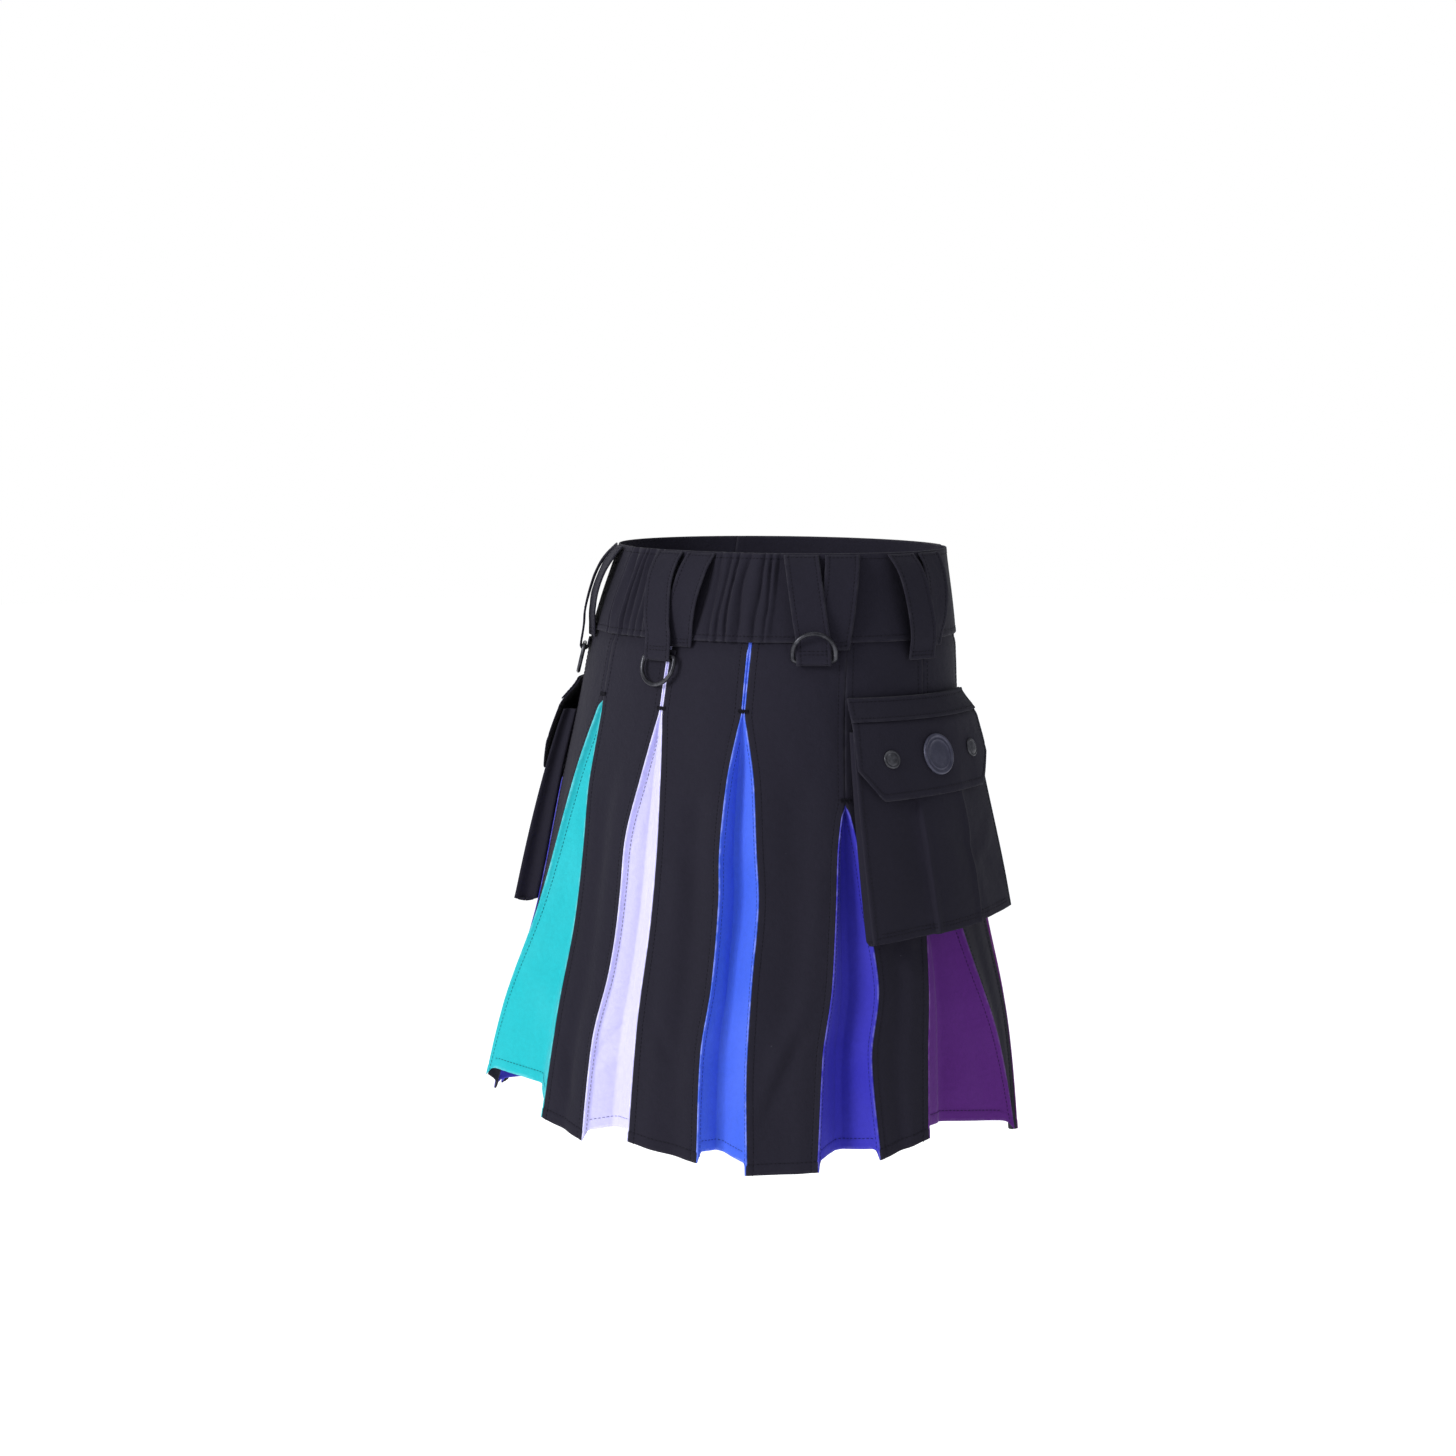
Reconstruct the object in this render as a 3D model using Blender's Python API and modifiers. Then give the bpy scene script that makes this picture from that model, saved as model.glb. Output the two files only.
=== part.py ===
"""A worn utility kilt: gathered waistband, black panels with coloured pleat insets, a wrapped
front, forked belt loops with D rings, and two cargo pockets.

Metres, +Z up. The origin is the centre of the waist at the top edge of the waistband. The front
faces -Y and the wearer's right is -X. Places on the garment are given as an angle in degrees
from the centre back, growing towards the wearer's right, a drop below the waist, and a distance
out from the smooth surface of the garment.
"""

from collections import namedtuple
from math import atan2, cos, hypot, pi, radians, sin, sqrt

import bmesh
import bpy
from mathutils import Matrix, Vector

MM = 0.001

# Driving dimensions of the skirt and its cloth
LENGTH = 0.500
BAND_HEIGHT = 0.072
PANEL_WALL = 1.6 * MM
INSET_WALL = 1.2 * MM
BAND_WALL = 2.2 * MM
SEAM_GAP = 0.3 * MM
SKIRT_TOP = BAND_HEIGHT + 0.8 * MM
SKIRT_ROWS = 13

# Each section is an ellipse, moved back from the centre of the waist
Section = namedtuple("Section", "drop half_width half_depth back_shift")
SECTIONS = [
    Section(0.000, 0.1525, 0.122, 0.000),
    Section(0.072, 0.1676, 0.139, 0.012),
    Section(0.130, 0.1745, 0.146, 0.019),
    Section(0.220, 0.1895, 0.160, 0.026),
    Section(0.310, 0.2060, 0.175, 0.029),
    Section(0.400, 0.2280, 0.195, 0.034),
    Section(0.520, 0.2450, 0.209, 0.043),
]

# Between two panels the cloth is closed to a slit down to where a pleat opens. Below that the
# edges of the panels before and after it stand at these degrees from the pleat's own angle, one
# for each drop in EDGE_DROPS. Depth, lean and kicks are millimetres at the hem, hems are drops.
EDGE_DROPS = (0.190, 0.245, 0.285, 0.350, 0.410, 0.490)
Pleat = namedtuple(
    "Pleat",
    "name colour angle opens before after depth lean kick_before kick_after hem_before hem_after",
)
PLEATS = [
    Pleat("inset_left_4", "plum", -117.0, 0.200, (-1.2, -3, -4, -6, -7, -9),
          (1.2, 3, 4, 5, 6, 7), 20, 2, 3, 4, 0.492, 0.494),
    Pleat("inset_left_3", "purple", -87.0, 0.190, (-1.5, -5, -7, -9, -11, -13),
          (1.5, 4, 6, 8, 10, 11), 24, -6, 6, 5, 0.490, 0.484),
    Pleat("inset_left_2", "indigo", -56.5, 0.200, (-1.2, -3, -4, -6, -7, -8),
          (1.2, 3, 3.5, 5, 6, 7), 20, 4, 0, 2, 0.486, 0.478),
    Pleat("inset_left_1", "teal", -26.5, 0.128, (-7.5, -11.5, -13.5, -16, -18, -19.5),
          (0.6, 3.4, 5, 7, 8.2, 8.6), 22, -9, 12, 2, 0.463, 0.478),
    Pleat("inset_back", "lavender", 0.2, 0.134, (-3.0, -5.3, -4.6, -3.9, -5.2, -4.6),
          (2.6, 4.1, 4.5, 4.9, 5.5, 6.3), 14, -3, 0, 0, 0.489, 0.483),
    Pleat("inset_right_1", "blue", 26.0, 0.133, (-2.4, -3.0, -2.5, -2.7, -3.9, -3.2),
          (4.0, 5.5, 6.4, 5.6, 5.4, 6.4), 17, -6, 0, 3, 0.494, 0.501),
    Pleat("inset_right_2", "indigo", 56.0, 0.205, (0, -1.8, -2.7, -4.5, -7.2, -8.0),
          (0, 2.8, 4.0, 5.8, 3.0, 4.8), 20, -4, 2, 0, 0.498, 0.491),
    Pleat("inset_right_3", "purple", 86.0, 0.190, (-1.6, -4, -5.5, -8, -10.7, -11.9),
          (1.5, 3, 4, 8, 12.5, 16.5), 20, -6, 0, 9, 0.478, 0.487),
    Pleat("inset_right_4", "plum", 117.0, 0.200, (-1.2, -3, -4, -5, -6, -7),
          (1.2, 3, 4, 6, 7, 9), 20, -3, 5, 0, 0.492, 0.492),
]
SLIT = 4.4 * MM
CLOSED_DEPTH = 6.0 * MM
LIP_DEPTH = 4.5 * MM
VALLEY_SLIT = 0.5 * MM
VALLEY_OPEN = 3.0 * MM
INSET_HEM_RISE = 0.011
INSET_GAP = 0.4 * MM
PANEL_FLATNESS = 0.6

# The front is wrapped: the over apron covers the under apron, from the wearer's left
OVER_FREE_ANGLE = -226.0
UNDER_FREE_ANGLE = 228.0
TUCK_START, TUCK_END = 124.0, 132.0
UNDER_APRON_TUCK = 3.2 * MM
UNDER_BAND_TUCK = 3.2 * MM
APRON_HEM = 0.496

# Elastic gathers stand either side of the centre back loop
GATHER_FROM, GATHER_TO = 8.0, 33.0
GATHERS = 8
COLUMNS_PER_GATHER = 4
GATHER_HEIGHT = 1.0 * MM
BAND_OUT = 1.0 * MM
BAND_ROWS = 3
BAND_STEP_DEGREES = 6.5

# Forked belt loops: strap A lies over strap B and may hold a D ring
Loop = namedtuple("Loop", "name angle ring")
LOOPS = [
    Loop("left_side", -87.0, None),
    Loop("left_back", -48.8, "down"),
    Loop("centre_back", 0.8, "down"),
    Loop("right_back", 48.8, "up"),
    Loop("right_side", 87.0, None),
]
STRAP_WIDTH = 0.028
STRAP_WALL = 1.8 * MM
STRAP_TOP = 0.002
STRAP_A_OFFSETS = (-0.026, -0.007)
STRAP_B_OFFSETS = (0.010, 0.006)
STRAP_B_END = 0.078
STRAP_BOW = [(STRAP_TOP, 0.0), (0.010, 0.55), (0.022, 0.95), (0.040, 1.0), (0.058, 0.86), (0.070, 0.62)]
STRAP_A_ENDS = [(0.080, 4.2 * MM), (0.088, 3.0 * MM)]
STRAP_B_ENDS = [(0.056, 6.2 * MM), (0.068, 2.8 * MM), (STRAP_B_END, 0.4 * MM)]
STRAP_REST_OUT = 1.6 * MM
BELT_GAP_B = 8.8 * MM
BELT_GAP_A = 11.7 * MM
WIRE = 1.8 * MM
RING_WIDTH = 0.0356
RING_HEIGHT = 0.0245
RING_DROP = 0.087
RING_SLACK = 0.45 * MM
RING_OUT = 0.4 * MM + STRAP_WALL + RING_SLACK + WIRE
RETURN_HEIGHT = 0.006
RING_DOWN_TILT = 2.0
RING_UP_TILT = 31.0

# Cargo pockets on the hips
POCKET_ANGLE = 84.5
POCKET_DROP = 0.118
POCKET_HEIGHT = 0.197
POCKET_HEM_TILT = 0.013
POCKET_WIDTH_TOP, POCKET_WIDTH_HEM = 0.138, 0.152
POCKET_WALL = 1.2 * MM
POCKET_MOUTH = 0.028
POCKET_DEPTH_TOP, POCKET_DEPTH_HEM = 0.0085, 0.016
POCKET_LIFT_TOP, POCKET_LIFT_HEM = 0.0, 0.004
POCKET_FLATNESS = 0.004
POCKET_REST_OUT = 0.4 * MM
POCKET_HANG_OUT = 0.0025
BOX_PLEAT_HALF = 0.023
BOX_PLEAT_RAISE = 2.0 * MM
FLAP_WIDTH = 0.142
FLAP_HEIGHT = 0.083
FLAP_CLIP = 0.017
FLAP_CLIP_HEIGHT = 0.026
FLAP_WALL = 1.5 * MM
FLAP_CLEAR = 0.5 * MM
FLAP_KICK = 0.001
POCKET_BAND_HEIGHT = 0.018
BAND_CLEAR = 0.7 * MM
FLAP_DOWNS = [0.0, 0.006, 0.012, POCKET_BAND_HEIGHT, 0.026, 0.044, 0.064, FLAP_HEIGHT]
FLAP_EDGE = FLAP_WIDTH / 2
FLAP_STOPS = [-FLAP_EDGE, FLAP_CLIP - FLAP_EDGE, -0.030, 0.0, 0.030, FLAP_EDGE - FLAP_CLIP, FLAP_EDGE]
BADGE_RADIUS, BADGE_THICKNESS = 0.0175, 2.2 * MM
SNAP_RADIUS, SNAP_THICKNESS = 0.0078, 2.6 * MM
SNAP_SPREAD = 0.044
SNAP_DROP = 0.050
FRONT_SNAP_DROPS = (0.020, 0.052)
FRONT_SNAP_ANGLE = OVER_FREE_ANGLE + 6.0

COLOURS = {
    "black": (0.012, 0.012, 0.020),
    "teal": (0.010, 0.42, 0.47),
    "lavender": (0.52, 0.52, 0.86),
    "blue": (0.035, 0.085, 0.62),
    "indigo": (0.022, 0.018, 0.36),
    "purple": (0.085, 0.012, 0.17),
    "plum": (0.12, 0.014, 0.16),
    "ring": (0.02, 0.02, 0.025),
    "snap": (0.05, 0.05, 0.05),
    "badge": (0.05, 0.055, 0.09),
}


def smooth_through(stations, values, place):
    """A curve through the values that never overshoots them, flat beyond its ends."""
    if place <= stations[0]:
        return values[0]
    if place >= stations[-1]:
        return values[-1]
    last = len(stations) - 1
    steps = [stations[i + 1] - stations[i] for i in range(last)]
    rises = [(values[i + 1] - values[i]) / steps[i] for i in range(last)]
    slopes = [rises[0]]
    for before, after in zip(rises, rises[1:]):
        together = before * after > 0
        slopes.append(2 * before * after / (before + after) if together else 0.0)
    slopes.append(rises[-1])
    i = max(n for n in range(last) if stations[n] <= place)
    t = (place - stations[i]) / steps[i]
    start = values[i] * (2 * t**3 - 3 * t**2 + 1) + values[i + 1] * (3 * t**2 - 2 * t**3)
    bend = slopes[i] * (t**3 - 2 * t**2 + t) + slopes[i + 1] * (t**3 - t**2)
    return start + bend * steps[i]


def mix(low, high, share):
    return low + (high - low) * share


def ease(low, high, place):
    """0 before low, 1 after high, smooth between."""
    t = min(1.0, max(0.0, (place - low) / (high - low)))
    return t * t * (3 - 2 * t)


def section_at(drop):
    """Half width, half depth and back shift at a drop, going on straight past the last row."""
    drops = [row.drop for row in SECTIONS]
    return tuple(
        smooth_through(drops, [row[column] for row in SECTIONS], drop)
        for column in (1, 2, 3)
    )


def on_body(angle, drop, out=0.0):
    """The point at an angle, a drop and a distance out from the garment's smooth surface."""
    half_width, half_depth, shift = section_at(drop)
    s, c = sin(radians(angle)), cos(radians(angle))
    normal = Vector((-s * half_depth, c * half_width, 0)).normalized()
    return Vector((-half_width * s, shift + half_depth * c, -drop)) + normal * out


def per_degree(angle, drop):
    """Metres round the garment for one degree."""
    half_width, half_depth, _ = section_at(drop)
    return radians(hypot(half_width * cos(radians(angle)), half_depth * sin(radians(angle))))


def along(angle, drop, distance):
    """The angle a small distance round the garment."""
    return angle + distance / per_degree(angle, drop)


def edge_angle(pleat, side, drop):
    """The angle of the panel edge before (-1) or after (+1) a pleat."""
    closed = side * SLIT / 2 / per_degree(pleat.angle, drop)
    spread = pleat.before if side < 0 else pleat.after
    below = [(place, turn) for place, turn in zip(EDGE_DROPS, spread) if place > pleat.opens]
    stations = [pleat.opens] + [place for place, _ in below]
    turns = [closed] + [turn + closed for _, turn in below]
    return pleat.angle + smooth_through(stations, turns, drop)


def opened_at(pleat, drop):
    """0 where a pleat is closed and 1 where it is as wide open as at its hem."""
    spread = edge_angle(pleat, 1, drop) - edge_angle(pleat, -1, drop)
    widest = edge_angle(pleat, 1, LENGTH) - edge_angle(pleat, -1, LENGTH)
    slit = SLIT / per_degree(pleat.angle, drop)
    return min(1.0, max(0.0, (spread - slit) / (widest - slit)))


class Panel:
    """A stretch of cloth between two pleats, or from a pleat to a free edge."""

    def __init__(self, name, before, after, columns, tuck=0.0):
        self.name, self.before, self.after = name, before, after
        self.columns, self.tuck = columns, tuck

    def hem(self, across):
        start = self.before.hem_after if self.before else APRON_HEM
        end = self.after.hem_before if self.after else APRON_HEM
        return mix(start, end, across)

    def ends(self, drop):
        start = edge_angle(self.before, 1, drop) if self.before else OVER_FREE_ANGLE
        end = edge_angle(self.after, -1, drop) if self.after else UNDER_FREE_ANGLE
        return start, end

    def point(self, across, drop):
        start, end = self.ends(drop)
        angle = mix(start, end, across)
        out = 0.0
        if self.before and self.after:
            half_turn = radians(end - start) / 2
            rise = (1 - cos(half_turn)) * section_at(drop)[1]
            bowed = 4 * across * (1 - across) * ease(0.10, 0.26, drop)
            out = -PANEL_FLATNESS * rise * bowed
        falling = ease(0.20, LENGTH, drop) * MM
        if self.before:
            out += self.before.kick_after * falling * (1 - across) ** 2
        if self.after:
            out += self.after.kick_before * falling * across**2
        if self.tuck:
            out -= self.tuck * ease(max(start, TUCK_START), TUCK_END, angle)
        return on_body(angle, drop, out)

    def row_point(self, across, share):
        """A point a share of the way down from the waist seam to the hem."""
        return self.point(across, mix(SKIRT_TOP, self.hem(across), share))

    def frame(self, across, share):
        """A point with the panel's outward normal and the level direction round it."""
        step = 0.01
        low, high = max(0.0, across - step), min(1.0, across + step)
        round_it = self.row_point(high, share) - self.row_point(low, share)
        drop = mix(SKIRT_TOP, self.hem(across), share)
        down = self.point(across, drop + MM) - self.point(across, drop - MM)
        normal = down.cross(round_it).normalized()
        return self.row_point(across, share), normal, Vector((-normal.y, normal.x, 0)).normalized()


def material_for(colour):
    """A plain finish in the part's colour."""
    found = bpy.data.materials.get(colour)
    if found:
        return found
    made = bpy.data.materials.new(colour)
    made.use_nodes = True
    shader = made.node_tree.nodes["Principled BSDF"]
    hard = colour in ("ring", "snap", "badge")
    shader.inputs["Base Color"].default_value = (*COLOURS[colour], 1.0)
    shader.inputs["Roughness"].default_value = 0.4 if hard else 0.9
    shader.inputs["Metallic"].default_value = 0.6 if colour in ("ring", "snap") else 0.0
    return made


def add_object(name, data, colour):
    made = bpy.data.objects.new(name, data)
    data.materials.append(material_for(colour))
    KILT.objects.link(made)
    return made


def thicken(made, wall, side):
    """A wall on the surface: side -1 goes in from it and +1 goes out."""
    modifier = made.modifiers.new("cloth", "SOLIDIFY")
    modifier.thickness = wall
    modifier.offset = side
    modifier.use_even_offset = True
    modifier.use_quality_normals = True


def add_sheet(name, columns, rows, point_at, wall, colour, side=-1, turned=False):
    """A grid whose corners are placed by point_at(column, row), made into a wall of cloth."""
    mesh = bpy.data.meshes.new(name)
    grid = bmesh.new()
    bmesh.ops.create_grid(grid, x_segments=columns, y_segments=rows, size=0.5)
    for corner in grid.verts:
        column = round((corner.co.x + 0.5) * columns)
        row = round((0.5 - corner.co.y) * rows)
        corner.co = point_at(column, row)
    if turned:
        bmesh.ops.reverse_faces(grid, faces=grid.faces[:])
    grid.to_mesh(mesh)
    grid.free()
    mesh.shade_smooth()
    made = add_object(name, mesh, colour)
    thicken(made, wall, side)
    return made


def add_panel(panel):
    """A black panel of the skirt."""

    def point_at(column, row):
        return panel.row_point(column / panel.columns, row / SKIRT_ROWS)

    add_sheet(panel.name, panel.columns, SKIRT_ROWS, point_at, PANEL_WALL, "black")


def inset_edges(before, after, share):
    """Both ends of an inset at one height, just clear of the panels' edges, with the normals."""
    reach = INSET_GAP + INSET_WALL
    start, start_normal, start_round = before.frame(1.0, share)
    end, end_normal, end_round = after.frame(0.0, share)
    return start + start_round * reach, start_normal, end - end_round * reach, end_normal


def inset_section(pleat, before, after, share):
    """The visible face of an inset at one row: a lip, a face, the valley, a face and a lip."""
    drop = mix(SKIRT_TOP, (before.hem(1.0) + after.hem(0.0)) / 2, share)
    opened = opened_at(pleat, drop)
    first, _, last, _ = inset_edges(before, after, share)
    raised_share = share * (1 - INSET_HEM_RISE * opened / LENGTH)
    start, start_normal, end, end_normal = inset_edges(before, after, raised_share)
    depth = mix(CLOSED_DEPTH, pleat.depth * MM, opened)
    lip = mix(LIP_DEPTH / 2, LIP_DEPTH, opened)
    half_gap = (end - start).length / 2
    valley_half = min(mix(VALLEY_SLIT, VALLEY_OPEN, opened), 0.8 * half_gap)
    inward = -(start_normal + end_normal)
    inward.z = 0
    inward.normalize()
    across = (end - start).normalized()
    valley = (start + end) / 2 + inward * depth + across * pleat.lean * MM * opened
    lip_first = start - start_normal * lip
    lip_last = end - end_normal * lip
    belly = -inward * 0.08 * depth * opened
    low = valley - across * valley_half
    high = valley + across * valley_half
    return [
        first,
        lip_first,
        (lip_first + low) / 2 + belly,
        low,
        high,
        (lip_last + high) / 2 + belly,
        lip_last,
        last,
    ]


def add_inset(pleat, before, after):
    """A coloured inset: a fold of cloth between two panels that opens towards the hem."""
    sections = [inset_section(pleat, before, after, r / SKIRT_ROWS) for r in range(SKIRT_ROWS + 1)]

    def point_at(column, row):
        return sections[row][column]

    columns = len(sections[0]) - 1
    add_sheet(pleat.name, columns, SKIRT_ROWS, point_at, INSET_WALL, pleat.colour)


def add_skirt():
    """The aprons, the panels and the insets, in order round the wearer."""
    over = Panel("apron_over", None, PLEATS[0], 14)
    under = Panel("apron_under", PLEATS[-1], None, 13, UNDER_APRON_TUCK)
    between = [
        Panel(f"panel_{n}", before, after, 4)
        for n, (before, after) in enumerate(zip(PLEATS, PLEATS[1:]), start=1)
    ]
    panels = [over, *between, under]
    for panel in panels:
        add_panel(panel)
    for pleat, before, after in zip(PLEATS, panels, panels[1:]):
        add_inset(pleat, before, after)


def gather_wave(angle):
    """How far an elastic gather lifts the waistband."""
    place = (abs(angle) - GATHER_FROM) / (GATHER_TO - GATHER_FROM)
    if not 0 < place < 1:
        return 0.0
    return GATHER_HEIGHT * (1 - cos(2 * pi * place * GATHERS))


def band_angles():
    """Angles round the waistband, close together where it is gathered."""
    bends = [OVER_FREE_ANGLE, -GATHER_TO, -GATHER_FROM, GATHER_FROM, GATHER_TO]
    bends += [TUCK_START, TUCK_END, UNDER_FREE_ANGLE]
    angles = [bends[0]]
    for start, end in zip(bends, bends[1:]):
        gathered = {abs(start), abs(end)} == {GATHER_FROM, GATHER_TO}
        count = GATHERS * COLUMNS_PER_GATHER if gathered else 1 + int((end - start) / BAND_STEP_DEGREES)
        angles += [mix(start, end, n / count) for n in range(1, count + 1)]
    return angles


def add_waistband():
    """One long band that wraps round the waist and over itself at the front."""
    angles = band_angles()

    def point_at(column, row):
        angle, share = angles[column], row / BAND_ROWS
        tuck = UNDER_BAND_TUCK * ease(TUCK_START, TUCK_END, angle)
        held = 1.0 if 0 < row < BAND_ROWS else 0.35
        out = BAND_OUT - tuck + gather_wave(angle) * held
        return on_body(angle, BAND_HEIGHT * share, out)

    add_sheet("waistband", len(angles) - 1, BAND_ROWS, point_at, BAND_WALL, "black")


def strap_frame(loop, offsets):
    """The angle of a strap's middle and the level direction across it."""
    middle = along(loop.angle, BAND_HEIGHT / 2, sum(offsets) / 2)
    step = on_body(middle + 1, RING_DROP) - on_body(middle - 1, RING_DROP)
    return middle, step.normalized()


def strap_centre(loop, offsets, drop, out):
    """A point on the middle line of a strap that slants from one offset to the other."""
    middle, level = strap_frame(loop, offsets)
    aside = mix(offsets[0], offsets[1], min(1.0, drop / STRAP_B_END)) - sum(offsets) / 2
    return on_body(middle, drop, out) + level * aside


def ring_place(loop):
    """The bar of a D ring, with the directions down the garment and straight out from it."""
    middle, level = strap_frame(loop, STRAP_A_OFFSETS)
    bar = strap_centre(loop, STRAP_A_OFFSETS, RING_DROP, RING_OUT)
    away = on_body(middle, RING_DROP + MM) - on_body(middle, RING_DROP - MM)
    away = (away - level * away.dot(level)).normalized()
    outward = away.cross(level)
    return bar, away, outward


def strap_a_path(loop):
    """Strap A's inner face, round the bar of its D ring and up behind it if it has one."""
    path = [
        strap_centre(loop, STRAP_A_OFFSETS, drop, mix(STRAP_REST_OUT, BELT_GAP_A, share))
        for drop, share in STRAP_BOW
    ]
    if not loop.ring:
        return path + [strap_centre(loop, STRAP_A_OFFSETS, *end) for end in STRAP_A_ENDS]
    bar, away, outward = ring_place(loop)
    turn = WIRE + RING_SLACK
    for degrees_round in (0, 45, 90, 135, 180):
        turned = radians(degrees_round)
        path.append(bar + away * turn * sin(turned) + outward * turn * cos(turned))
    path.append(bar - away * RETURN_HEIGHT - outward * turn)
    return path


def strap_b_path(loop):
    """Strap B's inner face, which ends flat on the skirt under strap A."""
    path = [
        strap_centre(loop, STRAP_B_OFFSETS, drop, mix(STRAP_REST_OUT, BELT_GAP_B, share))
        for drop, share in STRAP_BOW[:-2]
    ]
    return path + [strap_centre(loop, STRAP_B_OFFSETS, *end) for end in STRAP_B_ENDS]


def add_strap(name, loop, offsets, path):
    """A strap of a belt loop, as a wall on its inner face."""
    _, level = strap_frame(loop, offsets)

    def point_at(column, row):
        return path[row] + level * (column - 0.5) * STRAP_WIDTH

    add_sheet(name, 1, len(path) - 1, point_at, STRAP_WALL, "black", side=1)


def ring_outline():
    """The middle line of the D ring's wire: its bar lies on the first axis."""
    half, height = RING_WIDTH / 2, RING_HEIGHT
    corner, shoulder = 3.0 * MM, 7.0 * MM
    bar = [(-half + corner, 0.0), (0.0, 0.0), (half - corner, 0.0)]
    elbow = [(half - 0.3 * corner, 0.3 * corner), (half, corner)]
    arc_count = 11
    arc = []
    for n in range(arc_count):
        turned = pi * n / (arc_count - 1)
        arc.append((half * cos(turned), shoulder + (height - shoulder) * sin(turned)))
    far_elbow = [(-half, corner), (-half + 0.3 * corner, 0.3 * corner)]
    return bar + elbow + arc + far_elbow


def add_ring(loop):
    """A D ring whose bar lies in the end of strap A. Its origin is on the bar's axis."""
    _, level = strap_frame(loop, STRAP_A_OFFSETS)
    bar, away, outward = ring_place(loop)
    if loop.ring == "up":
        away, tilt = -away, radians(RING_UP_TILT)
    else:
        tilt = radians(RING_DOWN_TILT)
    hang = away * cos(tilt) + outward * sin(tilt)
    curve = bpy.data.curves.new(f"ring_{loop.name}", "CURVE")
    curve.dimensions = "3D"
    curve.bevel_depth = WIRE
    curve.bevel_resolution = 2
    outline = ring_outline()
    spline = curve.splines.new("POLY")
    spline.points.add(len(outline) - 1)
    for point, (x, y) in zip(spline.points, outline):
        point.co = (x, y, 0, 1)
    spline.use_cyclic_u = True
    made = add_object(f"ring_{loop.name}", curve, "ring")
    turn = Matrix((level, hang, level.cross(hang))).transposed()
    made.matrix_world = Matrix.Translation(bar) @ turn.to_4x4()


def add_belt_loops():
    for loop in LOOPS:
        add_strap(f"loop_{loop.name}_a", loop, STRAP_A_OFFSETS, strap_a_path(loop))
        add_strap(f"loop_{loop.name}_b", loop, STRAP_B_OFFSETS, strap_b_path(loop))
        if loop.ring:
            add_ring(loop)


def pocket_point(side, across, down, out):
    """A point on a pocket: across it from the back edge's side, down it, and out from the skirt."""
    share = down / POCKET_HEIGHT
    tilt = POCKET_HEM_TILT * max(0.0, share) * (across / POCKET_WIDTH_TOP + 0.5)
    drop = POCKET_DROP + down - tilt
    angle = POCKET_ANGLE + across / per_degree(POCKET_ANGLE, drop)
    lift = mix(POCKET_LIFT_TOP, POCKET_LIFT_HEM, share)
    forward = (across / POCKET_WIDTH_TOP + 0.5) ** 2 * lift * ease(-0.01, 0.05, down)
    base = mix(POCKET_REST_OUT, POCKET_HANG_OUT, ease(0.0, 0.08, down))
    return on_body(side * angle, drop, base + forward + out)


def pocket_depth(down):
    """The distance between the back and the front of a pocket."""
    share = (down - POCKET_MOUTH) / (POCKET_HEIGHT - POCKET_MOUTH)
    return mix(POCKET_DEPTH_TOP, POCKET_DEPTH_HEM, ease(-0.1, 0.9, share))


def pocket_flat(across, down):
    """How far the stiff front of a pocket stands off the round hip towards its edges."""
    return POCKET_FLATNESS * (2 * across / POCKET_WIDTH_TOP) ** 2 * ease(-0.01, 0.05, down)


def pocket_half_width(down):
    return mix(POCKET_WIDTH_TOP, POCKET_WIDTH_HEM, down / POCKET_HEIGHT) / 2


def pocket_ring(side, down):
    """One level of a pocket bag: its back, a gusset, its front with a box pleat, a gusset."""
    half, depth = pocket_half_width(down), pocket_depth(down)
    pleat = BOX_PLEAT_HALF
    edge = 1.5 * MM
    beside = (half + pleat) / 2
    stops = [-half, -beside, -pleat - edge, -pleat, 0.0, pleat, pleat + edge, beside, half]
    raised = BOX_PLEAT_RAISE
    raises = [0.0, 0.0, 0.0, raised, raised + MM, raised, 0.0, 0.0, 0.0]
    back = [pocket_point(side, stop, down, 0.0) for stop in stops]
    front = [
        pocket_point(side, stop, down, depth + pocket_flat(stop, down) + rise)
        for stop, rise in zip(stops, raises)
    ]
    pinch = 3 * MM
    middle = (depth + pocket_flat(half, down)) / 2
    near = pocket_point(side, -half + pinch, down, middle)
    far = pocket_point(side, half - pinch, down, middle)
    return back + [far] + front[::-1] + [near]


def add_pocket_bag(side, name):
    """The bag of a pocket, open at the top: stacked rings and a floor, walled inwards."""
    downs = [POCKET_MOUTH, 0.052, 0.080, 0.120, 0.160, 0.188, POCKET_HEIGHT]
    rings = [pocket_ring(side, down) for down in downs]
    count = len(rings[0])
    across = (count - 2) // 2
    bag = bmesh.new()
    corners = [[bag.verts.new(point) for point in ring] for ring in rings]
    for upper, lower in zip(corners, corners[1:]):
        for n in range(count):
            m = (n + 1) % count
            bag.faces.new((upper[n], upper[m], lower[m], lower[n]))
    floor = corners[-1]
    back, far = floor[:across], floor[across]
    front, near = floor[across + 1 : -1][::-1], floor[-1]
    for n in range(1, across - 2):
        bag.faces.new((back[n], back[n + 1], front[n + 1], front[n]))
    bag.faces.new((near, back[0], back[1], front[1], front[0]))
    bag.faces.new((back[-2], back[-1], far, front[-1], front[-2]))
    if side < 0:
        bmesh.ops.reverse_faces(bag, faces=bag.faces[:])
    mesh = bpy.data.meshes.new(name)
    bag.to_mesh(mesh)
    bag.free()
    made = add_object(name, mesh, "black")
    thicken(made, POCKET_WALL, -1)


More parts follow.
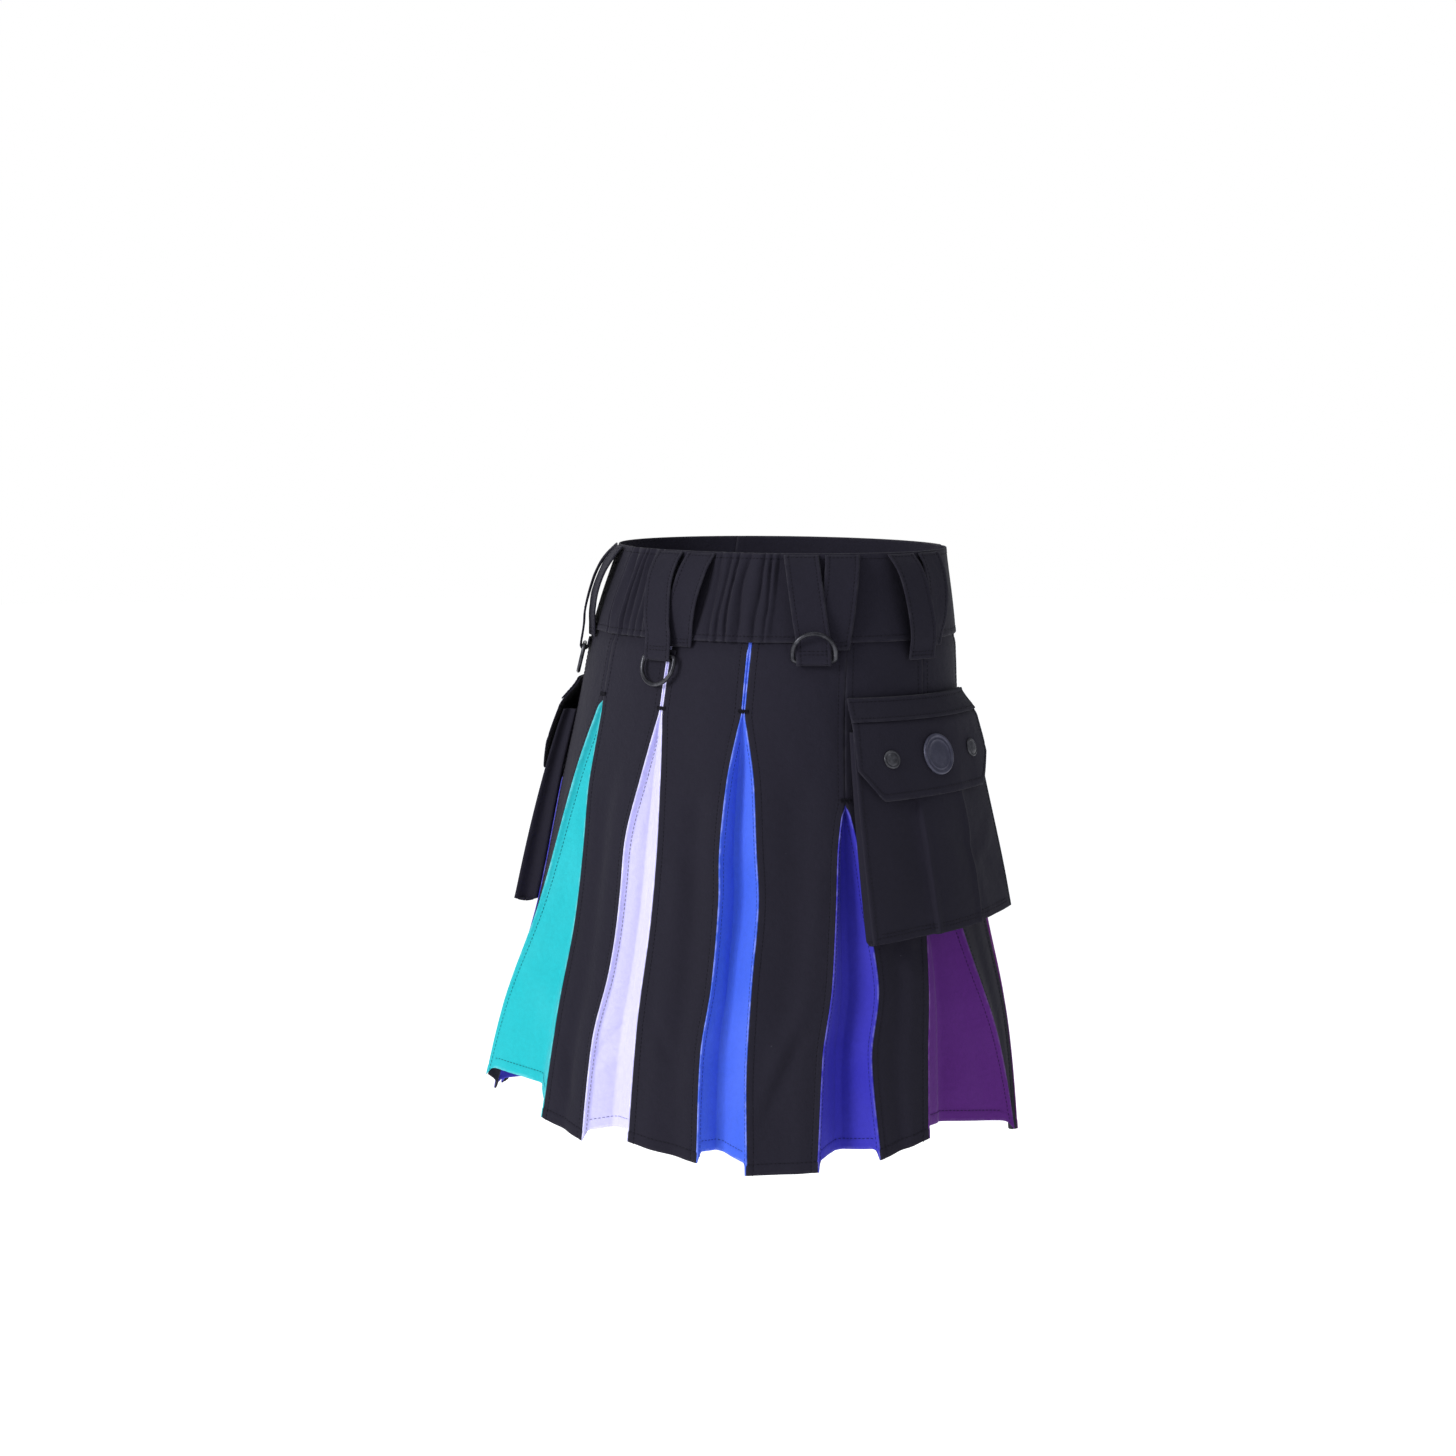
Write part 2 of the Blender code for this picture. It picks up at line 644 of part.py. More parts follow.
def flap_out(across, down):
    """How far the flap's inner face stands from the pocket's back."""
    clear = FLAP_CLEAR + BOX_PLEAT_RAISE + MM
    over_bag = pocket_depth(max(down, POCKET_MOUTH)) + clear
    kick = FLAP_KICK * (across / FLAP_WIDTH * 2) ** 2 * ease(0.02, FLAP_HEIGHT, down)
    kick += pocket_flat(across, down)
    return mix(0.8 * MM, over_bag, ease(-0.002, 0.026, down)) + kick


def flap_point(side, across, down, out=0.0):
    """A point on the flap's inner face, or a distance out from it."""
    return pocket_point(side, across, down, flap_out(across, down) + out)


def add_pocket_flap(side, name):
    """The flap over the mouth of a pocket, with its lower corners clipped."""
    last = len(FLAP_STOPS) - 1

    def point_at(column, row):
        down = FLAP_DOWNS[row]
        if column in (0, last):
            below = max(0.0, down - POCKET_BAND_HEIGHT)
            down -= below * FLAP_CLIP_HEIGHT / (FLAP_HEIGHT - POCKET_BAND_HEIGHT)
        return flap_point(side, FLAP_STOPS[column], down)

    add_sheet(name, last, len(FLAP_DOWNS) - 1, point_at, FLAP_WALL, "black", 1, side < 0)


def add_pocket_band(side, name):
    """The strip stitched along the top of the flap."""
    last_row = FLAP_DOWNS.index(POCKET_BAND_HEIGHT)

    def point_at(column, row):
        return flap_point(side, FLAP_STOPS[column], FLAP_DOWNS[row], FLAP_WALL + BAND_CLEAR)

    add_sheet(name, len(FLAP_STOPS) - 1, last_row, point_at, FLAP_WALL, "black", 1, side < 0)


def add_button(name, place, normal, radius, thickness, colour):
    """A round cap that lies on the cloth: a short cone with its broad face inwards."""
    mesh = bpy.data.meshes.new(name)
    cap = bmesh.new()
    bmesh.ops.create_cone(
        cap,
        cap_ends=True,
        segments=18,
        radius1=radius,
        radius2=0.72 * radius,
        depth=thickness,
    )
    cap.to_mesh(mesh)
    cap.free()
    made = add_object(name, mesh, colour)
    made.location = place + normal * (thickness / 2 + SEAM_GAP)
    made.rotation_mode = "QUATERNION"
    made.rotation_quaternion = normal.to_track_quat("Z", "Y")


def add_flap_buttons(side, name):
    """A round badge in the middle of the flap and a snap on each side of it."""
    rows = [
        ("badge", 0.0, BADGE_RADIUS, BADGE_THICKNESS, "badge"),
        ("snap_rear", -SNAP_SPREAD, SNAP_RADIUS, SNAP_THICKNESS, "snap"),
        ("snap_front", SNAP_SPREAD, SNAP_RADIUS, SNAP_THICKNESS, "snap"),
    ]
    for what, across, radius, thickness, colour in rows:
        step = radius * 0.8
        place = flap_point(side, across, SNAP_DROP, FLAP_WALL)
        level = flap_point(side, across + step, SNAP_DROP) - flap_point(side, across - step, SNAP_DROP)
        down = flap_point(side, across, SNAP_DROP + step) - flap_point(side, across, SNAP_DROP - step)
        normal = (down.cross(level) * side).normalized()
        add_button(f"{what}_{name}", place, normal, radius, thickness, colour)


def add_pockets():
    for side, name in ((1, "right"), (-1, "left")):
        add_pocket_bag(side, f"pocket_bag_{name}")
        add_pocket_flap(side, f"pocket_flap_{name}")
        add_pocket_band(side, f"pocket_band_{name}")
        add_flap_buttons(side, name)


def add_front_snaps():
    """Two snaps that close the over apron's end of the waistband."""
    for n, drop in enumerate(FRONT_SNAP_DROPS, start=1):
        place = on_body(FRONT_SNAP_ANGLE, drop, BAND_OUT)
        outward = on_body(FRONT_SNAP_ANGLE, drop, 1.0) - on_body(FRONT_SNAP_ANGLE, drop)
        down = on_body(FRONT_SNAP_ANGLE, drop + MM) - on_body(FRONT_SNAP_ANGLE, drop - MM)
        down.normalize()
        normal = (outward - down * outward.dot(down)).normalized()
        add_button(f"snap_front_{n}", place, normal, SNAP_RADIUS, SNAP_THICKNESS, "snap")


for old in list(bpy.data.objects):
    bpy.data.objects.remove(old)
KILT = bpy.data.collections.new("utility_kilt")
bpy.context.scene.collection.children.link(KILT)
add_skirt()
add_waistband()
add_belt_loops()
add_pockets()
add_front_snaps()
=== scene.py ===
"""A worn utility kilt: a gathered waistband, black twill panels with coloured pleat insets, a
wrapped front, forked belt loops with D rings, and two cargo pockets with snapped flaps.

Metres, +Z up. The origin is the centre of the waist at the top of the waistband. The front faces
-Y and the wearer's right is -X. A place on the garment is an angle in degrees from the centre
back, growing towards the wearer's right, a drop below the waist, and a distance out from the
smooth surface of the garment. Places in the cloth itself are metres across it and down it.
"""

from collections import namedtuple
from math import cos, exp, hypot, pi, radians, sin
import bmesh
import bpy
import numpy as np
from mathutils import Matrix, Vector, noise


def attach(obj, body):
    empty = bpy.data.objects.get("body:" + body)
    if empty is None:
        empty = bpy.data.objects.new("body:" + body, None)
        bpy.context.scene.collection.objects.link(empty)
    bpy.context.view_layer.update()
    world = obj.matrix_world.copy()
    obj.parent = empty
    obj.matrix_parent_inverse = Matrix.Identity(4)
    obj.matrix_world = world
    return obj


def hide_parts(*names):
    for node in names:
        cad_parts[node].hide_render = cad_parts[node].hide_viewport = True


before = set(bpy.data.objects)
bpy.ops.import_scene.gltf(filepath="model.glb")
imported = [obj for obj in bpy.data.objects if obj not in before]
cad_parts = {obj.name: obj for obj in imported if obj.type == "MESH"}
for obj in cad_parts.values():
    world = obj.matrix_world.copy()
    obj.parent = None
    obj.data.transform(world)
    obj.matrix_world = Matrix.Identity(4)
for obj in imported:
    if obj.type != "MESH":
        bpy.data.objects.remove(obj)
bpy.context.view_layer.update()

bl_info = {
    "name": "Utility Kilt",
    "version": (1, 0, 0),
    "blender": (4, 5, 0),
    "location": "3D View > Sidebar > Kilt",
    "description": "Builds a utility kilt with coloured pleats, piece by piece",
    "category": "Object",
}

MM = 0.001

# The skirt and its cloth
LENGTH = 0.500
BAND_HEIGHT = 0.072
SKIRT_TOP = BAND_HEIGHT + 0.8 * MM
PANEL_WALL = 1.6 * MM
INSET_WALL = 1.2 * MM
BAND_WALL = 1.5 * MM
UNDER_THE_BAND = 0.0675
UNDER_BAND_DEPTH = 1.3 * MM
UNDER_BAND_DROPS = (0.0735, 0.0830)

# How far each seam lies from the edge of its piece
HEM_SEAM = 0.0085
EDGE_SEAM = 0.0055
INSET_SEAM = 6.5 * MM
BAND_SEAM = 4.6 * MM
STRAP_EDGE_SEAM = 3.2 * MM
STRAP_END_SEAM = 3.0 * MM
POCKET_BAND_SEAM = 3.2 * MM
BAG_EDGE_SEAM = 3.6 * MM
BAG_HEM_SEAMS = (5.0 * MM, 8.0 * MM)

# Each section is an ellipse, moved back from the centre of the waist
Section = namedtuple("Section", "drop half_width half_depth back_shift")
SECTIONS = [
    Section(0.000, 0.1525, 0.122, 0.000),
    Section(0.072, 0.1676, 0.139, 0.012),
    Section(0.130, 0.1745, 0.146, 0.019),
    Section(0.220, 0.1895, 0.160, 0.026),
    Section(0.310, 0.2060, 0.175, 0.029),
    Section(0.400, 0.2280, 0.195, 0.034),
    Section(0.520, 0.2450, 0.209, 0.043),
]

# Below its opening, the panel edges before and after a pleat stand at these degrees from it, one
# for each drop in EDGE_DROPS. Depth, lean and kicks are millimetres at the hem, hems are drops.
EDGE_DROPS = (0.190, 0.245, 0.285, 0.350, 0.410, 0.490)
Pleat = namedtuple(
    "Pleat",
    "name colour angle opens before after depth lean kick_before kick_after hem_before hem_after",
)
PLEATS = [
    Pleat("inset_left_4", "plum", -117.0, 0.200, (-1.2, -3, -4, -6, -7, -9),
          (1.2, 3, 4, 5, 6, 7), 20, 2, 3, 4, 0.492, 0.494),
    Pleat("inset_left_3", "purple", -87.0, 0.190, (-1.5, -5, -7, -9, -11, -13),
          (1.5, 4, 6, 8, 10, 11), 24, -6, 6, 5, 0.490, 0.484),
    Pleat("inset_left_2", "indigo", -56.5, 0.200, (-1.2, -3, -4, -6, -7, -8),
          (1.2, 3, 3.5, 5, 6, 7), 20, 4, 0, 2, 0.486, 0.478),
    Pleat("inset_left_1", "teal", -26.5, 0.128, (-7.5, -11.5, -13.5, -16, -18, -19.5),
          (0.6, 3.4, 5, 7, 8.2, 8.6), 22, -9, 12, 2, 0.463, 0.478),
    Pleat("inset_back", "lavender", 0.2, 0.134, (-3.0, -5.3, -4.6, -3.9, -5.2, -4.6),
          (2.6, 4.1, 4.5, 4.9, 5.5, 6.3), 14, -3, 0, 0, 0.489, 0.483),
    Pleat("inset_right_1", "blue", 26.0, 0.133, (-2.4, -3.0, -2.5, -2.7, -3.9, -3.2),
          (4.0, 5.5, 6.4, 5.6, 5.4, 6.4), 17, -6, 0, 3, 0.494, 0.501),
    Pleat("inset_right_2", "indigo", 56.0, 0.205, (0, -1.8, -2.7, -4.5, -7.2, -8.0),
          (0, 2.8, 4.0, 5.8, 3.0, 4.8), 20, -4, 2, 0, 0.498, 0.491),
    Pleat("inset_right_3", "purple", 86.0, 0.190, (-1.6, -4, -5.5, -8, -10.7, -11.9),
          (1.5, 3, 4, 8, 12.5, 16.5), 20, -6, 0, 9, 0.478, 0.487),
    Pleat("inset_right_4", "plum", 117.0, 0.200, (-1.2, -3, -4, -5, -6, -7),
          (1.2, 3, 4, 6, 7, 9), 20, -3, 5, 0, 0.492, 0.492),
]
SLIT = 4.4 * MM
CLOSED_DEPTH = 6.0 * MM
LIP_DEPTH = 4.5 * MM
VALLEY_SLIT = 0.5 * MM
VALLEY_OPEN = 3.0 * MM
INSET_HEM_RISE = 0.011
INSET_GAP = 0.4 * MM
PANEL_FLATNESS = 0.6

# The front is wrapped: the over apron covers the under apron, from the wearer's left
OVER_FREE_ANGLE = -226.0
UNDER_FREE_ANGLE = 228.0
TUCK_START, TUCK_END = 124.0, 132.0
UNDER_TUCK = 3.2 * MM
APRON_HEM = 0.496

# Elastic gathers stand either side of the centre back loop
GATHER_FROM, GATHER_TO = 8.0, 33.0
BAND_OUT = 1.0 * MM
WAIST_RADIUS = 0.155

# Forked belt loops: strap A lies over strap B and may hold a D ring
Loop = namedtuple("Loop", "name angle ring")
LOOPS = [
    Loop("left_side", -87.0, None),
    Loop("left_back", -48.8, "down"),
    Loop("centre_back", 0.8, "down"),
    Loop("right_back", 48.8, "up"),
    Loop("right_side", 87.0, None),
]
STRAP_WIDTH = 0.028
STRAP_WALL = 1.8 * MM
STRAP_TOP = 0.002
STRAP_A_OFFSETS = (-0.026, -0.007)
STRAP_B_OFFSETS = (0.010, 0.006)
STRAP_B_END = 0.078
STRAP_BOW = [
    (STRAP_TOP, 0.0), (0.010, 0.55), (0.022, 0.95), (0.040, 1.0), (0.058, 0.86), (0.070, 0.62),
]
STRAP_A_ENDS = [(0.080, 4.2 * MM), (0.088, 3.0 * MM)]
STRAP_B_ENDS = [(0.056, 6.2 * MM), (0.068, 2.8 * MM), (STRAP_B_END, 0.4 * MM)]
STRAP_REST_OUT = 1.6 * MM
BELT_GAP_B = 8.8 * MM
BELT_GAP_A = 11.7 * MM
WIRE = 1.8 * MM
RING_WIDTH = 0.0356
RING_HEIGHT = 0.0245
RING_DROP = 0.087
RING_SLACK = 0.45 * MM
RING_OUT = 0.4 * MM + STRAP_WALL + RING_SLACK + WIRE
RETURN_HEIGHT = 0.006
RING_DOWN_TILT = 2.0
RING_UP_TILT = 31.0

# Cargo pockets on the hips
POCKET_ANGLE = 84.5
POCKET_DROP = 0.118
POCKET_HEIGHT = 0.197
POCKET_HEM_TILT = 0.013
POCKET_WIDTH_TOP, POCKET_WIDTH_HEM = 0.138, 0.152
POCKET_WALL = 1.2 * MM
POCKET_MOUTH = 0.028
POCKET_DEPTH_TOP, POCKET_DEPTH_HEM = 0.0085, 0.016
POCKET_LIFT_TOP, POCKET_LIFT_HEM = 0.0, 0.004
POCKET_FLATNESS = 0.004
POCKET_REST_OUT = 0.4 * MM
POCKET_HANG_OUT = 0.0025
BOX_PLEAT_HALF = 0.023
BOX_PLEAT_RAISE = 2.0 * MM
FLAP_WIDTH = 0.142
FLAP_HEIGHT = 0.083
FLAP_CLIP = 0.017
FLAP_CLIP_HEIGHT = 0.026
FLAP_WALL = 1.5 * MM
FLAP_CLEAR = 0.5 * MM
FLAP_KICK = 0.001
POCKET_BAND_HEIGHT = 0.018
BAND_CLEAR = 0.7 * MM
SNAP_SPREAD = 0.044
SNAP_DROP = 0.050
FRONT_SNAP_DROPS = (0.020, 0.052)
FRONT_SNAP_ANGLE = OVER_FREE_ANGLE + 6.0
FRONT_SNAP_OUT = BAND_OUT + 0.4 * MM
SEAM_GAP = 0.3 * MM


def smooth_through(stations, values, place):
    """A curve through the values that never overshoots them, flat beyond its ends."""
    if place <= stations[0]:
        return values[0]
    if place >= stations[-1]:
        return values[-1]
    last = len(stations) - 1
    steps = [stations[i + 1] - stations[i] for i in range(last)]
    rises = [(values[i + 1] - values[i]) / steps[i] for i in range(last)]
    slopes = [rises[0]]
    for before, after in zip(rises, rises[1:]):
        together = before * after > 0
        slopes.append(2 * before * after / (before + after) if together else 0.0)
    slopes.append(rises[-1])
    i = max(n for n in range(last) if stations[n] <= place)
    t = (place - stations[i]) / steps[i]
    start = values[i] * (2 * t**3 - 3 * t**2 + 1) + values[i + 1] * (3 * t**2 - 2 * t**3)
    bend = slopes[i] * (t**3 - 2 * t**2 + t) + slopes[i + 1] * (t**3 - t**2)
    return start + bend * steps[i]


def mix(low, high, share):
    return low + (high - low) * share


def ease(low, high, place):
    """0 before low, 1 after high, smooth between."""
    t = min(1.0, max(0.0, (place - low) / (high - low)))
    return t * t * (3 - 2 * t)


SECTION_CACHE = {}


def section_at(drop):
    """Half width, half depth and back shift at a drop, held beyond the first and last rows."""
    key = round(drop, 6)
    if key not in SECTION_CACHE:
        drops = [row.drop for row in SECTIONS]
        SECTION_CACHE[key] = tuple(
            smooth_through(drops, [row[column] for row in SECTIONS], drop) for column in (1, 2, 3)
        )
    return SECTION_CACHE[key]


def on_body(angle, drop, out=0.0):
    """The point at an angle, a drop and a distance out from the garment's smooth surface."""
    half_width, half_depth, shift = section_at(drop)
    s, c = sin(radians(angle)), cos(radians(angle))
    normal = Vector((-s * half_depth, c * half_width, 0)).normalized()
    return Vector((-half_width * s, shift + half_depth * c, -drop)) + normal * out


def per_degree(angle, drop):
    """Metres round the garment for one degree."""
    half_width, half_depth, _ = section_at(drop)
    return radians(hypot(half_width * cos(radians(angle)), half_depth * sin(radians(angle))))


def along(angle, drop, distance):
    """The angle a small distance round the garment."""
    return angle + distance / per_degree(angle, drop)


def stance(angle, drop):
    """The way straight down the garment at a place, and the normal there."""
    down = (on_body(angle, drop + MM) - on_body(angle, drop - MM)).normalized()
    outward = on_body(angle, drop, 1.0) - on_body(angle, drop)
    return down, (outward - down * outward.dot(down)).normalized()


# These pleats show a line of their colour above their opening; the others are shut
LINED_PLEATS = ("inset_back", "inset_right_1")
SHUT_HALF_SLIT = 0.35 * MM
LINED_HALF_SLIT = 1.9 * MM
EDGE_CACHE = {}


def shut_at(pleat, drop):
    """1 where a pleat's panels are sewn edge to edge over it, 0 where its cloth shows."""
    if pleat.name in LINED_PLEATS:
        return 0.0
    return 1 - ease(pleat.opens - 0.004, pleat.opens + 0.010, drop)


def edge_angle(pleat, side, drop):
    """The angle of the panel edge before (-1) or after (+1) a pleat."""
    key = (pleat.name, side, round(drop, 6))
    if key not in EDGE_CACHE:
        open_half = LINED_HALF_SLIT if pleat.name in LINED_PLEATS else SLIT / 2
        half = mix(open_half, SHUT_HALF_SLIT, shut_at(pleat, drop))
        closed = side * half / per_degree(pleat.angle, drop)
        spread = pleat.before if side < 0 else pleat.after
        below = [(place, turn) for place, turn in zip(EDGE_DROPS, spread) if place > pleat.opens]
        stations = [pleat.opens] + [place for place, _ in below]
        turns = [closed] + [turn + closed for _, turn in below]
        EDGE_CACHE[key] = pleat.angle + smooth_through(stations, turns, drop)
    return EDGE_CACHE[key]


def opened_at(pleat, drop):
    """0 where a pleat is closed and 1 where it is as wide open as at its hem."""
    spread = edge_angle(pleat, 1, drop) - edge_angle(pleat, -1, drop)
    widest = edge_angle(pleat, 1, LENGTH) - edge_angle(pleat, -1, LENGTH)
    slit = SLIT / per_degree(pleat.angle, drop)
    return min(1.0, max(0.0, (spread - slit) / (widest - slit)))


# A soft fold in the cloth: a line from one place to another, each a share across and a share
# down, its half width and its height in millimetres, where a trough is below 0
Fold = namedtuple("Fold", "across_0 down_0 across_1 down_1 width height")


def folded(folds, across, down, wide, tall):
    """The height of all folds at a place, on a piece so many metres wide and tall."""
    height = 0.0
    for fold in folds:
        x0, y0 = fold.across_0 * wide, fold.down_0 * tall
        dx, dy = fold.across_1 * wide - x0, fold.down_1 * tall - y0
        px, py = across * wide - x0, down * tall - y0
        length = hypot(dx, dy)
        place = (px * dx + py * dy) / (length * length)
        aside = (px * dy - py * dx) / length
        beyond = max(0.0, -place, place - 1.0) * length
        width = fold.width * MM
        fade = 1.0 if 0 < place < 1 else exp(-((beyond / (1.6 * width)) ** 2))
        swell = 0.72 + 0.28 * noise.noise(Vector((place * 3.1, fold.down_0 * 7.0, fold.width)))
        height += fold.height * MM * swell * fade * exp(-((aside / width) ** 2))
    return height


def unevenness(across, down, seed, wide=1.0, tall=1.0):
    """A slow swell of the cloth, from about -1 to 1, in metres across and down."""
    slow = noise.noise(Vector((across * wide / 0.055, down * tall / 0.16, seed)))
    quick = noise.noise(Vector((across * wide / 0.021, down * tall / 0.060, seed + 9.0)))
    return slow + 0.35 * quick


def under_band(drop):
    """The skirt slips in under the waistband's lower edge."""
    return -UNDER_BAND_DEPTH * (1 - ease(*UNDER_BAND_DROPS, drop))


PANEL_FOLDS = {
    "panel_1": [Fold(0.3, 0.45, 0.5, 1.0, 12, -1.6), Fold(0.7, 0.55, 0.8, 1.0, 10, 1.2)],
    "panel_2": [Fold(0.25, 0.6, 0.35, 1.0, 11, 1.4), Fold(0.65, 0.35, 0.72, 1.0, 12, -1.6)],
    "panel_3": [Fold(0.3, 0.3, 0.4, 1.0, 12, -1.5), Fold(0.75, 0.5, 0.68, 1.0, 9, 1.2)],
    "panel_4": [
        Fold(0.35, 0.35, 0.45, 1.02, 10, -1.4),
        Fold(0.75, 0.30, 0.80, 0.80, 9, 1.0),
        Fold(0.20, 0.82, 0.55, 0.93, 7, -1.0),
        Fold(0.10, 0.10, 0.60, 0.03, 6, -0.8),
    ],
    "panel_5": [
        Fold(0.30, 0.45, 0.25, 1.02, 11, 1.2),
        Fold(0.62, 0.35, 0.70, 1.02, 11, -1.6),
        Fold(0.10, 0.72, 0.45, 0.80, 7, -0.9),
        Fold(0.35, 0.10, 0.62, 0.02, 6, -0.9),
    ],
    "panel_6": [
        Fold(0.18, 0.86, 0.66, 0.70, 8, 1.7),
        Fold(0.22, 0.90, 0.72, 0.75, 7, -1.5),
        Fold(0.52, 0.30, 0.42, 0.72, 12, -1.3),
        Fold(0.80, 0.45, 0.78, 1.02, 9, 1.3),
        Fold(0.30, 0.08, 0.75, 0.03, 6, -0.8),
    ],
    "panel_7": [Fold(0.35, 0.40, 0.42, 1.02, 10, -1.5), Fold(0.72, 0.5, 0.7, 1.0, 9, 1.2)],
    "panel_8": [Fold(0.35, 0.35, 0.30, 1.02, 11, -1.5), Fold(0.7, 0.45, 0.75, 1.0, 10, 1.3)],
    "apron_over": [
        Fold(0.22, 0.30, 0.18, 1.02, 22, 1.8),
        Fold(0.38, 0.22, 0.42, 1.02, 20, -1.9),
        Fold(0.62, 0.35, 0.60, 1.02, 24, 1.6),
        Fold(0.82, 0.25, 0.84, 1.02, 18, -1.7),
        Fold(0.04, 0.10, 0.20, 0.26, 12, -1.2),
    ],
    "apron_under": [
        Fold(0.12, 0.30, 0.16, 1.02, 20, 1.5),
        Fold(0.32, 0.25, 0.30, 1.02, 22, -1.6),
    ],
}


class Panel:
    """A stretch of cloth between two pleats, or from a pleat to a free edge."""

    def __init__(self, name, before, after, tuck=0.0):
        self.name, self.before, self.after, self.tuck = name, before, after, tuck
        self.seed = 3.0 + 7.0 * sum(name.encode()) % 97
        self.wide = (self.flat_point(1, 0.85) - self.flat_point(0, 0.85)).length
        self.folds = PANEL_FOLDS.get(name, [])

    def hem(self, across):
        start = self.before.hem_after if self.before else APRON_HEM
        end = self.after.hem_before if self.after else APRON_HEM
        return mix(start, end, across)

    def ends(self, drop):
        start = edge_angle(self.before, 1, drop) if self.before else OVER_FREE_ANGLE
        end = edge_angle(self.after, -1, drop) if self.after else UNDER_FREE_ANGLE
        return start, end

    def point(self, across, drop, out=0.0):
        start, end = self.ends(drop)
        angle = mix(start, end, across)
        if self.before and self.after:
            half_turn = radians(end - start) / 2
            rise = (1 - cos(half_turn)) * section_at(drop)[1]
            bowed = 4 * across * (1 - across) * ease(0.10, 0.26, drop)
            out += -PANEL_FLATNESS * rise * bowed
        falling = ease(0.20, LENGTH, drop) * MM
        if self.before:
            out += self.before.kick_after * falling * (1 - across) ** 2
        if self.after:
            out += self.after.kick_before * falling * across**2
        if self.tuck:
            out -= self.tuck * ease(max(start, TUCK_START), TUCK_END, angle)
        return on_body(angle, drop, out)

    def flat_point(self, across, share):
        """A point of the smooth form, a share of the way from the waist seam to the hem."""
        return self.point(across, mix(SKIRT_TOP, self.hem(across), share))

    def swell(self, across, share):
        """How far the folds and the unevenness of the cloth lift it from the smooth form."""
        inside = min(across, 1 - across) * self.wide
        held = ease(0.0, 0.028, inside) * ease(0.0, 0.16, share)
        slow = unevenness(across, share, self.seed, self.wide, LENGTH) * 1.5 * MM
        lifted = folded(self.folds, across, share, self.wide, LENGTH) + slow
        return chosen().fold_strength * lifted * held

    def row_point(self, across, share):
        """A point of the worn cloth. Above the waist seam it slips in under the band."""
        drop = mix(SKIRT_TOP, self.hem(across), share)
        return self.point(across, drop, self.swell(across, share) + under_band(drop))

    def frame(self, across, share):
        """A point of the smooth form, the outward normal and the level direction round it."""
        step = 0.01
        low, high = max(0.0, across - step), min(1.0, across + step)
        round_it = self.flat_point(high, share) - self.flat_point(low, share)
        drop = mix(SKIRT_TOP, self.hem(across), share)
        down = self.point(across, drop + MM) - self.point(across, drop - MM)
        normal = down.cross(round_it).normalized()
        return self.flat_point(across, share), normal, Vector((-normal.y, normal.x, 0)).normalized()


PANELS = [Panel("apron_over", None, PLEATS[0])]
PANELS += [
    Panel(f"panel_{n}", before, after)
    for n, (before, after) in enumerate(zip(PLEATS, PLEATS[1:]), start=1)
]
PANELS += [Panel("apron_under", PLEATS[-1], None, UNDER_TUCK)]


def lengths_along(points, axis):
    """How far each place is along its row (axis 1) or its column (axis 0), in metres."""
    steps = np.linalg.norm(np.diff(points, axis=axis), axis=2)
    start = np.zeros((points.shape[0], 1) if axis else (1, points.shape[1]))
    return np.concatenate([start, np.cumsum(steps, axis=axis)], axis=axis)


def unit(vectors):
    return vectors / np.maximum(np.linalg.norm(vectors, axis=-1, keepdims=True), 1e-12)


